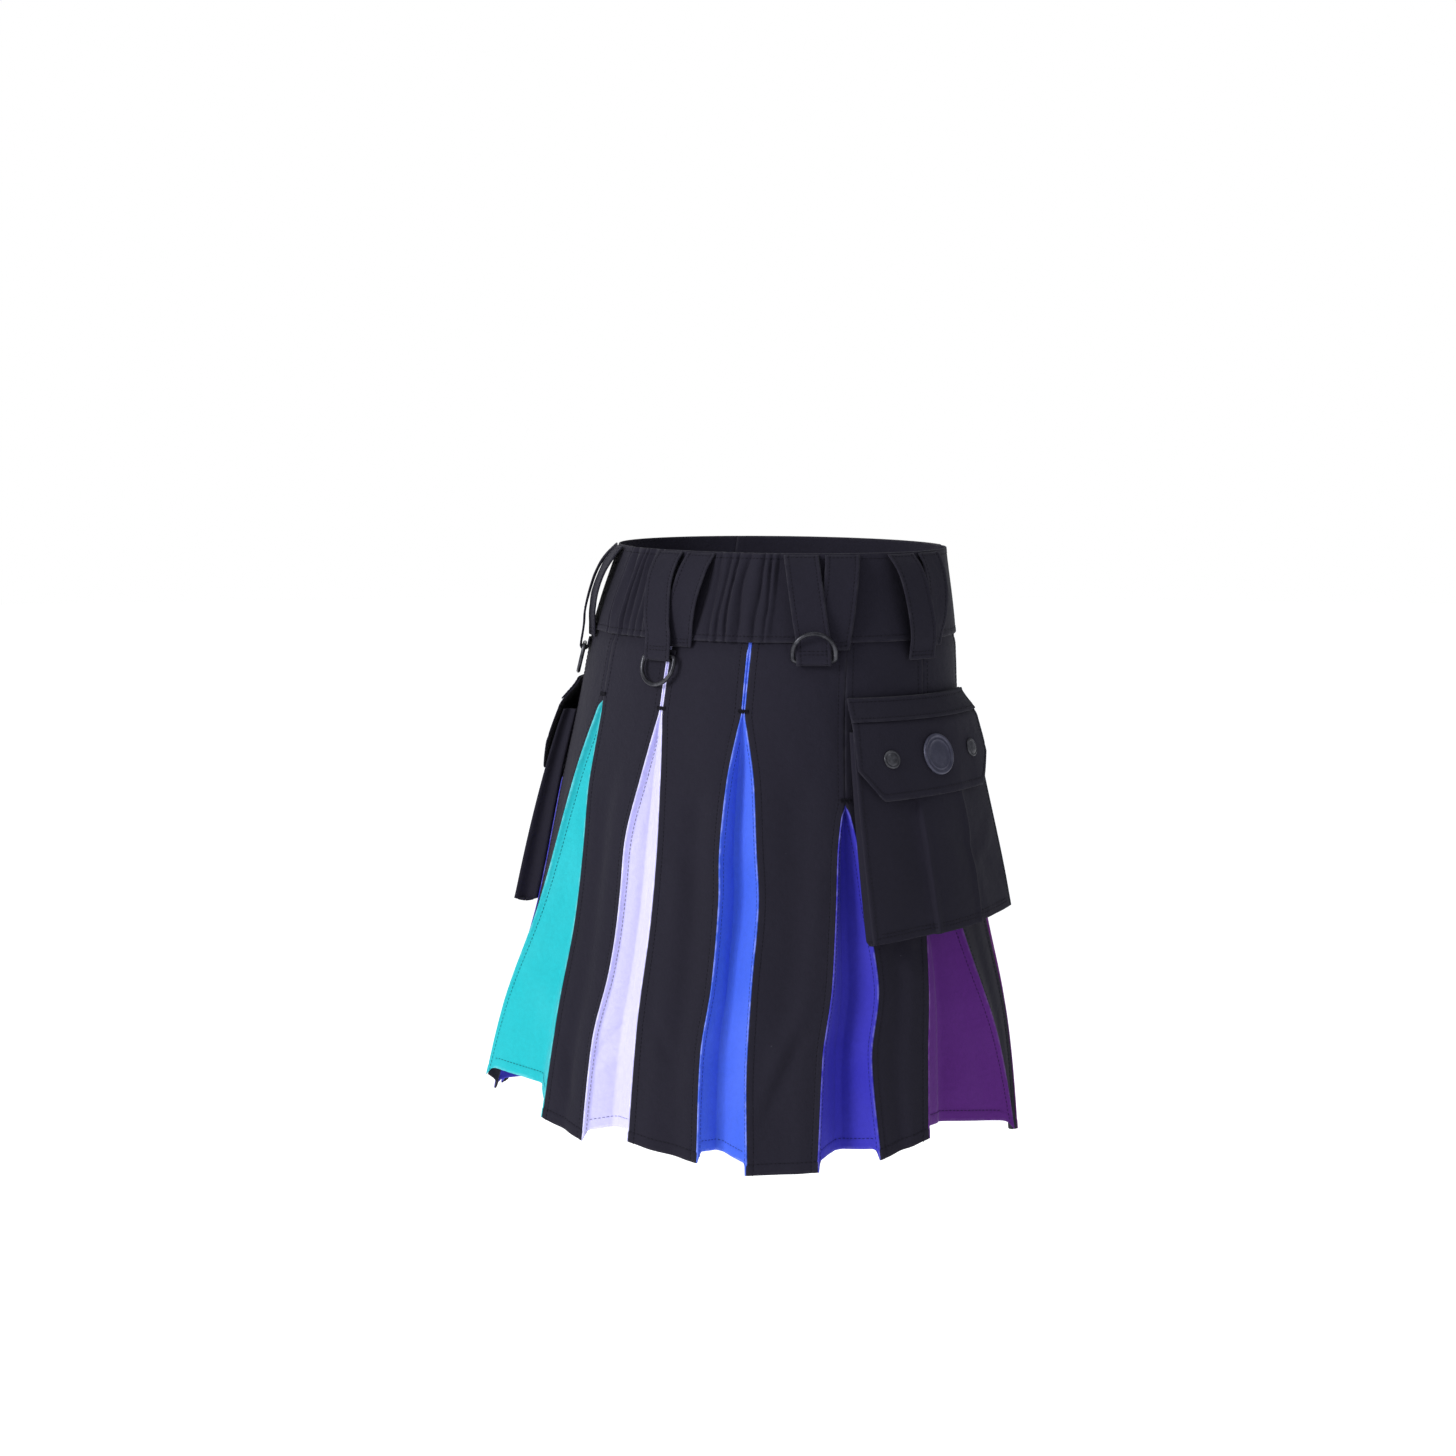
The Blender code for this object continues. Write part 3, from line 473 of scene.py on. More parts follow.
class Cloth:
    """The outer face of a piece of cloth: places in rows going down and columns going round."""

    def __init__(self, grid, turned=False):
        self.points = np.array([[tuple(place) for place in row] for row in grid])
        self.rows, self.columns = self.points.shape[:2]
        self.turned = turned
        self.measure()

    def measure(self):
        self.across = lengths_along(self.points, 1)
        self.down = lengths_along(self.points, 0)
        normals = np.cross(np.gradient(self.points, axis=0), np.gradient(self.points, axis=1))
        self.normals = unit(-normals if self.turned else normals)

    def lift(self, heights):
        """Moves the places out along their normals."""
        self.points = self.points + self.normals * heights[..., None]
        self.measure()

    def edge_distances(self):
        """How far each place is from the left, right, top and hem edges."""
        right = self.across[:, -1:] - self.across
        hem = self.down[-1:, :] - self.down
        return {"left": self.across, "right": right, "top": self.down, "hem": hem}

    def press(self, edges, turned_in=EDGE_SEAM, height=0.35 * MM, pucker=0.22 * MM, seed=0.0):
        """Turned-in edges: the cloth is double as far as its seam, which sinks and puckers it."""
        distances = self.edge_distances()
        lifted = np.zeros(self.points.shape[:2])
        for edge in edges:
            away = distances[edge]
            share = np.clip((away - turned_in + 1.4 * MM) / (2.2 * MM), 0, 1)
            double = 1 - share * share * (3 - 2 * share)
            lifted = np.maximum(lifted, height * double)
            ditch = np.exp(-(((away - turned_in) / (1.1 * MM)) ** 2))
            run = self.down if edge in ("left", "right") else self.across
            beside = np.exp(-(((away - turned_in) / (4.0 * MM)) ** 2))
            wrinkle = np.array([
                [noise.noise(Vector((x / 0.0055, y / 0.012, seed))) for x, y in zip(runs, aways)]
                for runs, aways in zip(run, away)
            ])
            lifted = lifted - 0.22 * MM * ditch + pucker * wrinkle * beside
        self.lift(lifted)

    def spot(self, row, column):
        """The place and the normal at a row and a column, which may fall between two."""
        r = min(self.rows - 2, max(0, int(row)))
        c = min(self.columns - 2, max(0, int(column)))
        s, t = row - r, column - c
        found = []
        for values in (self.points, self.normals):
            upper = values[r, c] * (1 - t) + values[r, c + 1] * t
            lower = values[r + 1, c] * (1 - t) + values[r + 1, c + 1] * t
            found.append(Vector(upper * (1 - s) + lower * s))
        return found[0], found[1].normalized()

    def line_down(self, aside, right=False, start=0.0, end=1.0):
        """A seam down the cloth, so far in from its left or right edge."""
        path = []
        for row in range(int(start * (self.rows - 1)), int(end * (self.rows - 1)) + 1):
            run = self.across[row]
            target = run[-1] - aside if right else aside
            path.append(self.spot(row, float(np.interp(target, run, np.arange(self.columns)))))
        return path

    def sides(self, aside, start=0.0, end=1.0):
        """The seams down both edges of the cloth."""
        return [self.line_down(aside, right, start, end) for right in (False, True)]

    def line_across(self, away, top=False, start=0.0, end=1.0):
        """A seam across the cloth, so far in from its hem or its top edge."""
        path = []
        for column in range(int(start * (self.columns - 1)), int(end * (self.columns - 1)) + 1):
            run = self.down[:, column]
            target = away if top else run[-1] - away
            path.append(self.spot(float(np.interp(target, run, np.arange(self.rows))), column))
        return path

    def cut(self):
        """The width, the length and the area of the flat piece, in metres."""
        points = self.points
        right, below = np.diff(points, axis=1), np.diff(points, axis=0)
        upper = np.cross(right[:-1], below[:, :-1])
        lower = np.cross(right[1:], below[:, 1:])
        area = (np.linalg.norm(upper, axis=2).sum() + np.linalg.norm(lower, axis=2).sum()) / 2
        width, length = float(self.across[:, -1].max()), float(self.down[-1].max())
        return width, length, float(min(area, width * length))


def smooth_mesh(name, corners, faces):
    mesh = bpy.data.meshes.new(name)
    mesh.from_pydata([tuple(place) for place in corners], [], faces)
    mesh.shade_smooth()
    return mesh


def between_rings(first, second, count):
    """Faces between two closed rings of corners, each numbered from its first."""
    return [
        (first + n, first + (n + 1) % count, second + (n + 1) % count, second + n)
        for n in range(count)
    ]


def chosen():
    """The sizes and the light that the user has chosen."""
    return bpy.context.scene.kilt_settings


def new_piece(name, mesh, finish, body="kilt"):
    """A piece of the kilt with its finish, riding on a body."""
    mesh.materials.append(finish_called(finish))
    made = bpy.data.objects.new(name, mesh)
    bpy.context.scene.collection.objects.link(made)
    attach(made, body)
    return made


def sew(name, cloth, wall, finish, node=None):
    """A wall of cloth behind its outer face, with rounded edges.

    Its map holds metres across and down the cloth, and each point keeps its distance from the
    nearest edge.
    """
    points = cloth.points
    rows, columns = cloth.rows, cloth.columns
    count = rows * columns
    under = points - cloth.normals * wall
    beyond = np.zeros_like(points)
    beyond[:, 0] += unit(points[:, 0] - points[:, 1])
    beyond[:, -1] += unit(points[:, -1] - points[:, -2])
    beyond[0] += unit(points[0] - points[1])
    beyond[-1] += unit(points[-1] - points[-2])
    border = [(0, c) for c in range(columns)]
    border += [(r, columns - 1) for r in range(1, rows)]
    border += [(rows - 1, c) for c in reversed(range(columns - 1))]
    border += [(r, 0) for r in reversed(range(1, rows - 1))]
    around = np.array([r * columns + c for r, c in border])
    middle = (points + under) / 2 + unit(beyond) * wall * 0.4
    rim_places = middle.reshape(-1, 3)[around]
    corners = np.concatenate([points.reshape(-1, 3), under.reshape(-1, 3), rim_places])
    index = np.arange(count).reshape(rows, columns)
    quads = np.stack([index[:-1, :-1], index[1:, :-1], index[1:, 1:], index[:-1, 1:]], axis=-1)
    quads = quads.reshape(-1, 4)
    nexts = np.roll(around, -1)
    rim = np.arange(len(around)) + 2 * count
    rim_next = np.roll(rim, -1)
    upper = np.stack([around, nexts, rim_next, rim], axis=-1)
    lower = np.stack([rim, rim_next, nexts + count, around + count], axis=-1)
    faces = np.concatenate([quads, quads[:, ::-1] + count, upper, lower])
    if cloth.turned:
        faces = faces[:, ::-1]
    mesh = smooth_mesh(name, corners.tolist(), faces.tolist())
    source = np.concatenate([np.arange(count), np.arange(count), around])
    corner = np.zeros(len(mesh.loops), dtype=np.int64)
    mesh.loops.foreach_get("vertex_index", corner)
    u = (cloth.across - cloth.across[:, -1:] / 2).reshape(-1)
    v = -cloth.down.reshape(-1)
    laid = np.stack([u[source[corner]], v[source[corner]]], axis=1)
    mesh.uv_layers.new(name="cloth").data.foreach_set("uv", laid.astype(np.float32).reshape(-1))
    near = np.minimum.reduce(list(cloth.edge_distances().values())).reshape(-1)[source]
    layer = mesh.attributes.new("edge_distance", "FLOAT", "POINT")
    layer.data.foreach_set("value", near.astype(np.float32))
    made = new_piece(name, mesh, finish)
    if node:
        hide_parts(node)
    width, length, area = cloth.cut()
    return made


# A bar tack's width, height and distance out, and its stitches' length, pitch and thread
TACK_WIDTH, TACK_HEIGHT, TACK_OUT = 9.0 * MM, 2.0 * MM, 0.9 * MM
TACK_STITCHES = (2.4 * MM, 1.2 * MM, 0.42 * MM)

# Each stitch is a short bar that dips into the cloth at both ends. A row has a share of its
# length, a height in threads and a girth in threads.
BAR = [(-0.5, -0.9, 0.5), (-0.34, 0.40, 1.0), (0.34, 0.40, 1.0), (0.5, -0.9, 0.5)]


def spots_along(path, pitch):
    """Places, normals and headings at an even pitch along a path of (place, normal) pairs."""
    spots, carried = [], pitch / 2
    for (start, normal), (end, next_normal) in zip(path, path[1:]):
        length = (end - start).length
        if length < 1e-9:
            continue
        while carried <= length:
            share = carried / length
            lean = normal.lerp(next_normal, share).normalized()
            spots.append((start.lerp(end, share), lean, (end - start) / length))
            carried += pitch
        carried -= length
    return spots


def stitch(name, paths, finish, sizes=None):
    """One piece with all the stitches of some seams. Each path is (place, normal) pairs.

    Sizes are a stitch's length, its pitch and its thread, where they aren't the chosen ones.
    """
    usual = (chosen().stitch_length, chosen().stitch_pitch, chosen().thread)
    length, pitch, thread = sizes or usual
    corners, faces = [], []
    for path in paths:
        for place, normal, ahead in spots_along(path, pitch):
            aside = normal.cross(ahead).normalized()
            base = len(corners)
            for share, height, girth in BAR:
                centre = place + ahead * share * length + normal * height * thread
                for side, up in ((1, 0), (0, 1), (-1, 0), (0, -1)):
                    corners.append(centre + (aside * side + normal * up * 0.8) * thread * girth)
            for ring in range(base, base + 4 * (len(BAR) - 1), 4):
                faces += between_rings(ring, ring + 4, 4)
            faces.append((base + 3, base + 2, base + 1, base))
            end = base + 4 * (len(BAR) - 1)
            faces.append((end, end + 1, end + 2, end + 3))
    return new_piece(name, smooth_mesh(name, corners, faces), finish)


def bar_tack(place, normal, up, wide, tall):
    """Close upright stitches in a short bar, as paths."""
    level = normal.cross(up).normalized()
    count = max(3, int(wide / (0.6 * MM)))
    paths = []
    for n in range(count):
        middle = place + level * mix(-wide / 2, wide / 2, (n + 0.5) / count)
        half = up * tall / 2 * (0.85 + 0.15 * (n % 3))
        paths.append([(middle - half, normal), (middle + half, normal)])
    return paths


def fine_stops(wide, step, edges=(0.0, 0.0012, 0.0028, 0.0044, 0.0055, 0.0066, 0.0085)):
    """Shares from 0 to 1 across a width, close together along both edges."""
    inner = wide - 2 * edges[-1]
    count = max(2, round(inner / step))
    stops = list(edges)
    stops += [edges[-1] + inner * n / count for n in range(1, count)]
    stops += [wide - edge for edge in reversed(edges)]
    return [stop / wide for stop in stops]


def down_stops(tall, step, above):
    """Shares down a skirt piece, from a little above its waist seam to a close row at its hem."""
    hem = (0.0, 0.0012, 0.0028, 0.0046, 0.0064, 0.0078, 0.0086, 0.0098, 0.012)
    inner = tall - hem[-1]
    count = round(inner / step)
    stops = [-above / tall, -above / tall / 2]
    stops += [inner * n / count for n in range(count)]
    stops += [tall - row for row in reversed(hem)]
    return [stop / tall for stop in stops]


SKIRT_DOWNS = down_stops(LENGTH - SKIRT_TOP, 3.6 * MM, SKIRT_TOP - UNDER_THE_BAND)


def add_panel(panel):
    """A black panel or apron, with its turned-in edges and its hem."""
    stops = fine_stops(panel.wide, 2.6 * MM)
    cloth = Cloth([[panel.row_point(across, share) for across in stops] for share in SKIRT_DOWNS])
    cloth.press(("left", "right"), EDGE_SEAM, seed=panel.seed)
    cloth.press(("hem",), HEM_SEAM, 0.45 * MM, 0.35 * MM, seed=panel.seed + 5)
    sew(panel.name, cloth, PANEL_WALL, "cloth_black", panel.name)
    seams = [*cloth.sides(EDGE_SEAM, 0.02), cloth.line_across(HEM_SEAM, start=0.02, end=0.98)]
    stitch(f"{panel.name}_stitches", seams, "thread_black")


def inset_edges(before, after, share):
    """Both ends of an inset at one height, just clear of the panels' edges, with the normals."""
    reach = INSET_GAP + INSET_WALL
    start, start_normal, start_round = before.frame(1.0, share)
    end, end_normal, end_round = after.frame(0.0, share)
    return start + start_round * reach, start_normal, end - end_round * reach, end_normal


def bend_between(start, corner, end, count):
    """Places on a soft corner from start to end, without its first."""
    return [
        start.lerp(corner, n / count).lerp(corner.lerp(end, n / count), n / count)
        for n in range(1, count + 1)
    ]


def straight(start, end, count):
    """Places from start to end, without its first."""
    return [start.lerp(end, n / count) for n in range(1, count + 1)]


FACE_COLUMNS = 11
LINE_DEPTH, LINE_LIP = 0.9 * MM, 0.35 * MM
SCENE_DEPTH = 1.18


def inset_row(pleat, before, after, share):
    """A row of an inset: a lip that rolls over the edge, a face, the valley, a face and a lip."""
    drop = mix(SKIRT_TOP, (before.hem(1.0) + after.hem(0.0)) / 2, share)
    opened = opened_at(pleat, drop)
    tucked = under_band(drop)
    first, first_normal, last, last_normal = inset_edges(before, after, share)
    reach = (last - first).normalized() * 0.7 * MM
    first, last = first - reach, last + reach
    raised_share = share * (1 - INSET_HEM_RISE * opened / LENGTH)
    start, start_normal, end, end_normal = inset_edges(before, after, raised_share)
    lined = pleat.name in LINED_PLEATS
    depth = mix(LINE_DEPTH if lined else CLOSED_DEPTH, SCENE_DEPTH * pleat.depth * MM, opened)
    lip = mix(LINE_LIP if lined else LIP_DEPTH / 2, LIP_DEPTH, ease(0.0, 0.2, opened))
    valley_half = min(mix(VALLEY_SLIT, VALLEY_OPEN, opened), 0.4 * (end - start).length)
    inward = -(start_normal + end_normal)
    inward.z = 0
    inward.normalize()
    across = (end - start).normalized()
    wander = noise.noise(Vector((drop / 0.11, pleat.angle, 0.0))) * 1.5 * MM * opened
    valley = (start + end) / 2 + inward * depth + across * (pleat.lean * MM * opened + wander)
    lip_first = start - start_normal * lip
    lip_last = end - end_normal * lip
    belly = -inward * 0.08 * depth * opened
    low, high = valley - across * valley_half, valley + across * valley_half
    first_face = (lip_first + low) / 2 + belly
    last_face = (lip_last + high) / 2 + belly
    shut = shut_at(pleat, drop)
    proud = 0.5 * MM + tucked - shut * (PANEL_WALL + 1.6 * MM)
    first, last = first + first_normal * proud, last + last_normal * proud
    row = [first]
    turn_first, turn_last = lip_first.lerp(first_face, 0.25), lip_last.lerp(last_face, 0.25)
    row += straight(first, first.lerp(lip_first, 0.6), 2)
    row += bend_between(row[-1], lip_first, turn_first, 4)
    row += bend_between(turn_first, first_face, low.lerp(first_face, 0.12), FACE_COLUMNS)
    row += bend_between(row[-1], low, low.lerp(high, 0.3), 3)
    row += straight(row[-1], low.lerp(high, 0.7), 1)
    row += bend_between(row[-1], high, high.lerp(last_face, 0.12), 3)
    row += bend_between(row[-1], last_face, turn_last, FACE_COLUMNS)
    row += bend_between(turn_last, lip_last, last.lerp(lip_last, 0.6), 4)
    row += straight(row[-1], last, 2)
    return row


INSET_FOLDS = {
    "teal": [
        Fold(0.62, 0.76, 0.86, 0.70, 5, -1.2),
        Fold(0.60, 0.82, 0.90, 0.79, 5, 1.1),
        Fold(0.58, 0.90, 0.88, 0.86, 6, -1.0),
        Fold(0.25, 0.55, 0.35, 1.0, 9, -1.4),
    ],
    "lavender": [
        Fold(0.15, 0.84, 0.42, 0.80, 5, -1.3),
        Fold(0.20, 0.88, 0.46, 0.85, 5, 1.3),
        Fold(0.55, 0.52, 0.70, 0.86, 7, -0.9),
    ],
    "blue": [Fold(0.60, 0.45, 0.72, 0.95, 8, -1.1), Fold(0.18, 0.62, 0.36, 0.72, 6, 0.9)],
    "indigo": [Fold(0.22, 0.55, 0.30, 1.0, 7, -1.3), Fold(0.62, 0.60, 0.70, 0.95, 7, 1.1)],
    "purple": [
        Fold(0.20, 0.45, 0.16, 1.0, 8, -1.4),
        Fold(0.34, 0.60, 0.30, 1.0, 7, 1.3),
        Fold(0.70, 0.50, 0.76, 1.0, 9, -1.5),
    ],
    "plum": [Fold(0.25, 0.50, 0.22, 1.0, 8, -1.3), Fold(0.70, 0.45, 0.74, 1.0, 8, 1.2)],
}


def add_inset(pleat, before, after):
    """A coloured inset: a fold of cloth between two panels that opens towards the hem."""
    cloth = Cloth([inset_row(pleat, before, after, share) for share in SKIRT_DOWNS])
    tall = LENGTH - SKIRT_TOP
    seed = 40.0 + pleat.angle
    heights = np.zeros((cloth.rows, cloth.columns))
    for row, share in enumerate(SKIRT_DOWNS):
        wide = cloth.across[row, -1]
        drop = mix(SKIRT_TOP, (before.hem(1.0) + after.hem(0.0)) / 2, share)
        loose = ease(0.15, 0.55, opened_at(pleat, drop))
        if not loose:
            continue
        for column in range(cloth.columns):
            across = cloth.across[row, column] / wide
            inside = min(across, 1 - across) * wide
            held = ease(0.005, 0.016, inside) * loose
            if held:
                swell = 1.1 * MM * unevenness(across, share, seed, wide, tall)
                heights[row, column] = held * (
                    swell + folded(INSET_FOLDS[pleat.colour], across, share, wide, tall)
                )
    cloth.lift(heights)
    cloth.press(("hem",), HEM_SEAM, 0.35 * MM, 0.3 * MM, seed=seed)
    sew(pleat.name, cloth, INSET_WALL, f"cloth_{pleat.colour}", pleat.name)
    seams = [cloth.line_across(HEM_SEAM, start=0.10, end=0.90), *cloth.sides(INSET_SEAM, 0.20)]
    stitch(f"{pleat.name}_stitches", seams, f"thread_{pleat.colour}")
    drop = pleat.opens - 0.004
    down, normal = stance(pleat.angle, drop)
    return bar_tack(on_body(pleat.angle, drop, TACK_OUT), normal, down, TACK_WIDTH, TACK_HEIGHT)


def gather(angle, drop):
    """How far the elastic lifts the waistband: close upright puckers with sharp hollows."""
    place = (abs(angle) - GATHER_FROM) / (GATHER_TO - GATHER_FROM)
    if not 0 < place < 1:
        return 0.0
    side = 3.0 if angle > 0 else 8.0
    wander = 0.50 * noise.noise(Vector((place * 4.0, drop * 20.0, side)))
    phase = place * 7 + wander + 0.25 * sin(place * 11 + side)
    ridge = abs(sin(pi * phase)) ** 0.7
    size = 0.8 + 0.8 * noise.noise(Vector((phase * 0.8, drop * 12.0, side + 5)))
    loose = ease(0.0, 0.010, drop) * (1 - ease(BAND_HEIGHT - 0.014, BAND_HEIGHT, drop))
    held = 0.60 + 0.40 * loose
    ends = ease(0.0, 0.12, place) * (1 - ease(0.88, 1.0, place))
    return chosen().gather_height * ridge * size * held * ends


def band_place(angle, share):
    """A place on the waistband's outer face, a share of the way down it."""
    drop = BAND_HEIGHT * share
    tuck = UNDER_TUCK * ease(TUCK_START, TUCK_END, angle)
    round_it = radians(angle) * WAIST_RADIUS
    slow = 0.55 * MM * noise.noise(Vector((round_it / 0.028, drop / 0.05, 60.0)))
    slow *= 1 - ease(TUCK_START - 10, TUCK_START, abs(angle))
    return on_body(angle, drop, BAND_OUT - tuck + gather(angle, drop) + slow)


def add_waistband():
    """One long band that wraps round the waist and over itself at the front."""
    angles = [OVER_FREE_ANGLE]
    while angles[-1] < UNDER_FREE_ANGLE - 0.2:
        near = GATHER_FROM - 1 < abs(angles[-1]) < GATHER_TO + 1
        angles.append(min(UNDER_FREE_ANGLE, angles[-1] + (0.28 if near else 0.95)))
    shares = [0.0, 0.018, 0.04, 0.062, 0.085, 0.12]
    shares += [0.12 + 0.76 * n / 14 for n in range(1, 14)]
    shares += [1 - share for share in reversed(shares[:6])]
    cloth = Cloth([[band_place(angle, share) for angle in angles] for share in shares])
    cloth.press(("top", "hem"), BAND_SEAM, 0.25 * MM, 0.3 * MM, seed=2.0)
    cloth.press(("left", "right"), BAND_SEAM, 0.25 * MM, 0.1 * MM, seed=3.0)
    sew("waistband", cloth, BAND_WALL, "cloth_black", "waistband")
    seams = [cloth.line_across(BAND_SEAM, top=True), cloth.line_across(BAND_SEAM)]
    seams += cloth.sides(BAND_SEAM, 0.1, 0.9)
    stitch("waistband_stitches", seams, "thread_black")


def strap_frame(loop, offsets):
    """The angle of a strap's middle and the level direction across it."""
    middle = along(loop.angle, BAND_HEIGHT / 2, sum(offsets) / 2)
    step = on_body(middle + 1, RING_DROP) - on_body(middle - 1, RING_DROP)
    return middle, step.normalized()


def strap_centre(loop, offsets, drop, out):
    """A point on the middle line of a strap that slants from one offset to the other."""
    middle, level = strap_frame(loop, offsets)
    aside = mix(offsets[0], offsets[1], min(1.0, drop / STRAP_B_END)) - sum(offsets) / 2
    return on_body(middle, drop, out) + level * aside


def ring_place(loop):
    """The bar of a D ring, with the directions down the garment and straight out from it."""
    middle, level = strap_frame(loop, STRAP_A_OFFSETS)
    bar = strap_centre(loop, STRAP_A_OFFSETS, RING_DROP, RING_OUT)
    away = on_body(middle, RING_DROP + MM) - on_body(middle, RING_DROP - MM)
    away = (away - level * away.dot(level)).normalized()
    return bar, away, away.cross(level)


def strap_a_path(loop):
    """Strap A's inner face, round the bar of its D ring and up behind it if it has one."""
    path = [
        strap_centre(loop, STRAP_A_OFFSETS, drop, mix(STRAP_REST_OUT, BELT_GAP_A, share))
        for drop, share in STRAP_BOW
    ]
    if not loop.ring:
        return path + [strap_centre(loop, STRAP_A_OFFSETS, *end) for end in STRAP_A_ENDS]
    bar, away, outward = ring_place(loop)
    turn = WIRE + RING_SLACK
    for degrees_round in (0, 30, 60, 90, 120, 150, 180):
        turned = radians(degrees_round)
        path.append(bar + away * turn * sin(turned) + outward * turn * cos(turned))
    path.append(bar - away * RETURN_HEIGHT - outward * turn)
    return path


def strap_b_path(loop):
    """Strap B's inner face, which ends flat on the skirt under strap A."""
    path = [
        strap_centre(loop, STRAP_B_OFFSETS, drop, mix(STRAP_REST_OUT, BELT_GAP_B, share))
        for drop, share in STRAP_BOW[:-2]
    ]
    return path + [strap_centre(loop, STRAP_B_OFFSETS, *end) for end in STRAP_B_ENDS]


def smoothed(path, step):
    """Places at about one step on a smooth curve through all places of a path."""
    fine = []
    for n in range(len(path) - 1):
        before = path[max(0, n - 1)]
        start, end = path[n], path[n + 1]
        after = path[min(len(path) - 1, n + 2)]
        length = (end - start).length
        lead_in = (end - before) * length / max(1e-9, (start - before).length + length)
        lead_out = (after - start) * length / max(1e-9, (after - end).length + length)
        if n == 0:
            lead_in = end - start
        if n == len(path) - 2:
            lead_out = end - start
        count = max(2, round(length / step))
        for k in range(count):
            t = k / count
            fine.append(
                start * (2 * t**3 - 3 * t**2 + 1) + end * (3 * t**2 - 2 * t**3)
                + lead_in * (t**3 - 2 * t**2 + t) + lead_out * (t**3 - t**2)
            )
    return fine + [path[-1]]


STRAP_STEP = 2.2 * MM


def add_strap(name, loop, offsets, path, seed):
    """A strap of a belt loop, with its stitched edges and the stitches that hold it."""
    _, level = strap_frame(loop, offsets)
    fine = smoothed(path, STRAP_STEP)
    stops = fine_stops(STRAP_WIDTH, 2.6 * MM, (0.0, 0.0010, 0.0022, 0.0032, 0.0044))
    asides = [level * (stop - 0.5) * STRAP_WIDTH for stop in stops]
    inner = Cloth([[place + aside for aside in asides] for place in fine])
    cloth = Cloth(inner.points + inner.normals * STRAP_WALL)
    slack = np.zeros((cloth.rows, cloth.columns))
    for row in range(cloth.rows):
        for column in range(cloth.columns):
            down = cloth.down[row, column]
            loose = ease(0.004, 0.018, down) * (1 - ease(0.062, 0.076, down))
            wave = noise.noise(Vector((stops[column] * 1.4, down / 0.024, seed)))
            cup = (2 * stops[column] - 1) ** 2 - 0.4
            slack[row, column] = loose * (0.7 * MM * wave + 0.5 * MM * cup)
    cloth.lift(slack)
    cloth.press(("left", "right"), STRAP_EDGE_SEAM, 0.15 * MM, 0.12 * MM, seed=seed)
    sew(name, cloth, STRAP_WALL - 0.2 * MM, "cloth_black", name)
    holds_ring = loop.ring and offsets is STRAP_A_OFFSETS
    ring_row = len(smoothed(path[: len(STRAP_BOW) + 1], STRAP_STEP)) if holds_ring else 0
    end = min(1.0, ring_row / cloth.rows + 0.1) if holds_ring else 1.0
    low_seam = cloth.down[-1, 0] - cloth.down[ring_row - 3, 0] if holds_ring else STRAP_END_SEAM
    seams = [
        *cloth.sides(STRAP_EDGE_SEAM, end=end),
        cloth.line_across(STRAP_END_SEAM, top=True, start=0.1, end=0.9),
    ]
    for away in (low_seam, low_seam + STRAP_END_SEAM):
        seams.append(cloth.line_across(away, start=0.1, end=0.9))
    return seams


def d_outline():
    """The middle line of the D ring's wire: its bar lies on the first axis."""
    half, height = RING_WIDTH / 2, RING_HEIGHT
    corner, shoulder = 3.0 * MM, 7.0 * MM

    def bend(middle, start):
        turns = [start + pi / 2 * n / 7 for n in range(1, 7)]
        return [
            Vector((middle + corner * cos(turn), corner + corner * sin(turn), 0)) for turn in turns
        ]

    bar = [Vector((mix(-half + corner, half - corner, n / 12), 0, 0)) for n in range(13)]
    bow = [
        Vector((half * cos(pi * n / 40), shoulder + (height - shoulder) * sin(pi * n / 40), 0))
        for n in range(41)
    ]
    return bar + bend(half - corner, -pi / 2) + bow + bend(-half + corner, pi)


def add_ring(loop):
    """A D ring of round wire, whose bar lies in the end of strap A."""
    _, level = strap_frame(loop, STRAP_A_OFFSETS)
    bar, away, outward = ring_place(loop)
    tilt = radians(RING_UP_TILT if loop.ring == "up" else RING_DOWN_TILT)
    if loop.ring == "up":
        away = -away
    hang = away * cos(tilt) + outward * sin(tilt)
    turn = Matrix((level, hang, level.cross(hang))).transposed()
    line = d_outline()
    around = 14
    corners, faces = [], []
    for n, place in enumerate(line):
        ahead = (line[(n + 1) % len(line)] - line[n - 1]).normalized()
        aside = Vector((ahead.y, -ahead.x, 0))
        wire = WIRE * (0.95 if place.length < 0.8 * MM else 1.0)
        for k in range(around):
            turned = 2 * pi * k / around
            spot = place + (aside * cos(turned) + Vector((0, 0, 1)) * sin(turned)) * wire
            corners.append(tuple(bar + turn @ spot))
    for n in range(len(line)):
        faces += between_rings(n * around, (n + 1) % len(line) * around, around)
    mesh = smooth_mesh(f"ring_{loop.name}_wire", corners, faces)
    made = new_piece(f"wire_{loop.name}", mesh, "ring_metal", f"ring_{loop.name}")
    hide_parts(f"ring_{loop.name}")


def pocket_point(side, across, down, out):
    """A point on a pocket: across it from the back edge's side, down it, and out from the skirt."""
    share = down / POCKET_HEIGHT
    tilt = POCKET_HEM_TILT * max(0.0, share) * (across / POCKET_WIDTH_TOP + 0.5)
    drop = POCKET_DROP + down - tilt
    angle = POCKET_ANGLE + across / per_degree(POCKET_ANGLE, drop)
    lift = mix(POCKET_LIFT_TOP, POCKET_LIFT_HEM, share)
    forward = (across / POCKET_WIDTH_TOP + 0.5) ** 2 * lift * ease(-0.01, 0.05, down)
    base = mix(POCKET_REST_OUT, POCKET_HANG_OUT, ease(0.0, 0.08, down))
    return on_body(side * angle, drop, base + forward + out)


def pocket_depth(down):
    """The distance between the back and the front of a pocket."""
    share = (down - POCKET_MOUTH) / (POCKET_HEIGHT - POCKET_MOUTH)
    return mix(POCKET_DEPTH_TOP, POCKET_DEPTH_HEM, ease(-0.1, 0.9, share))


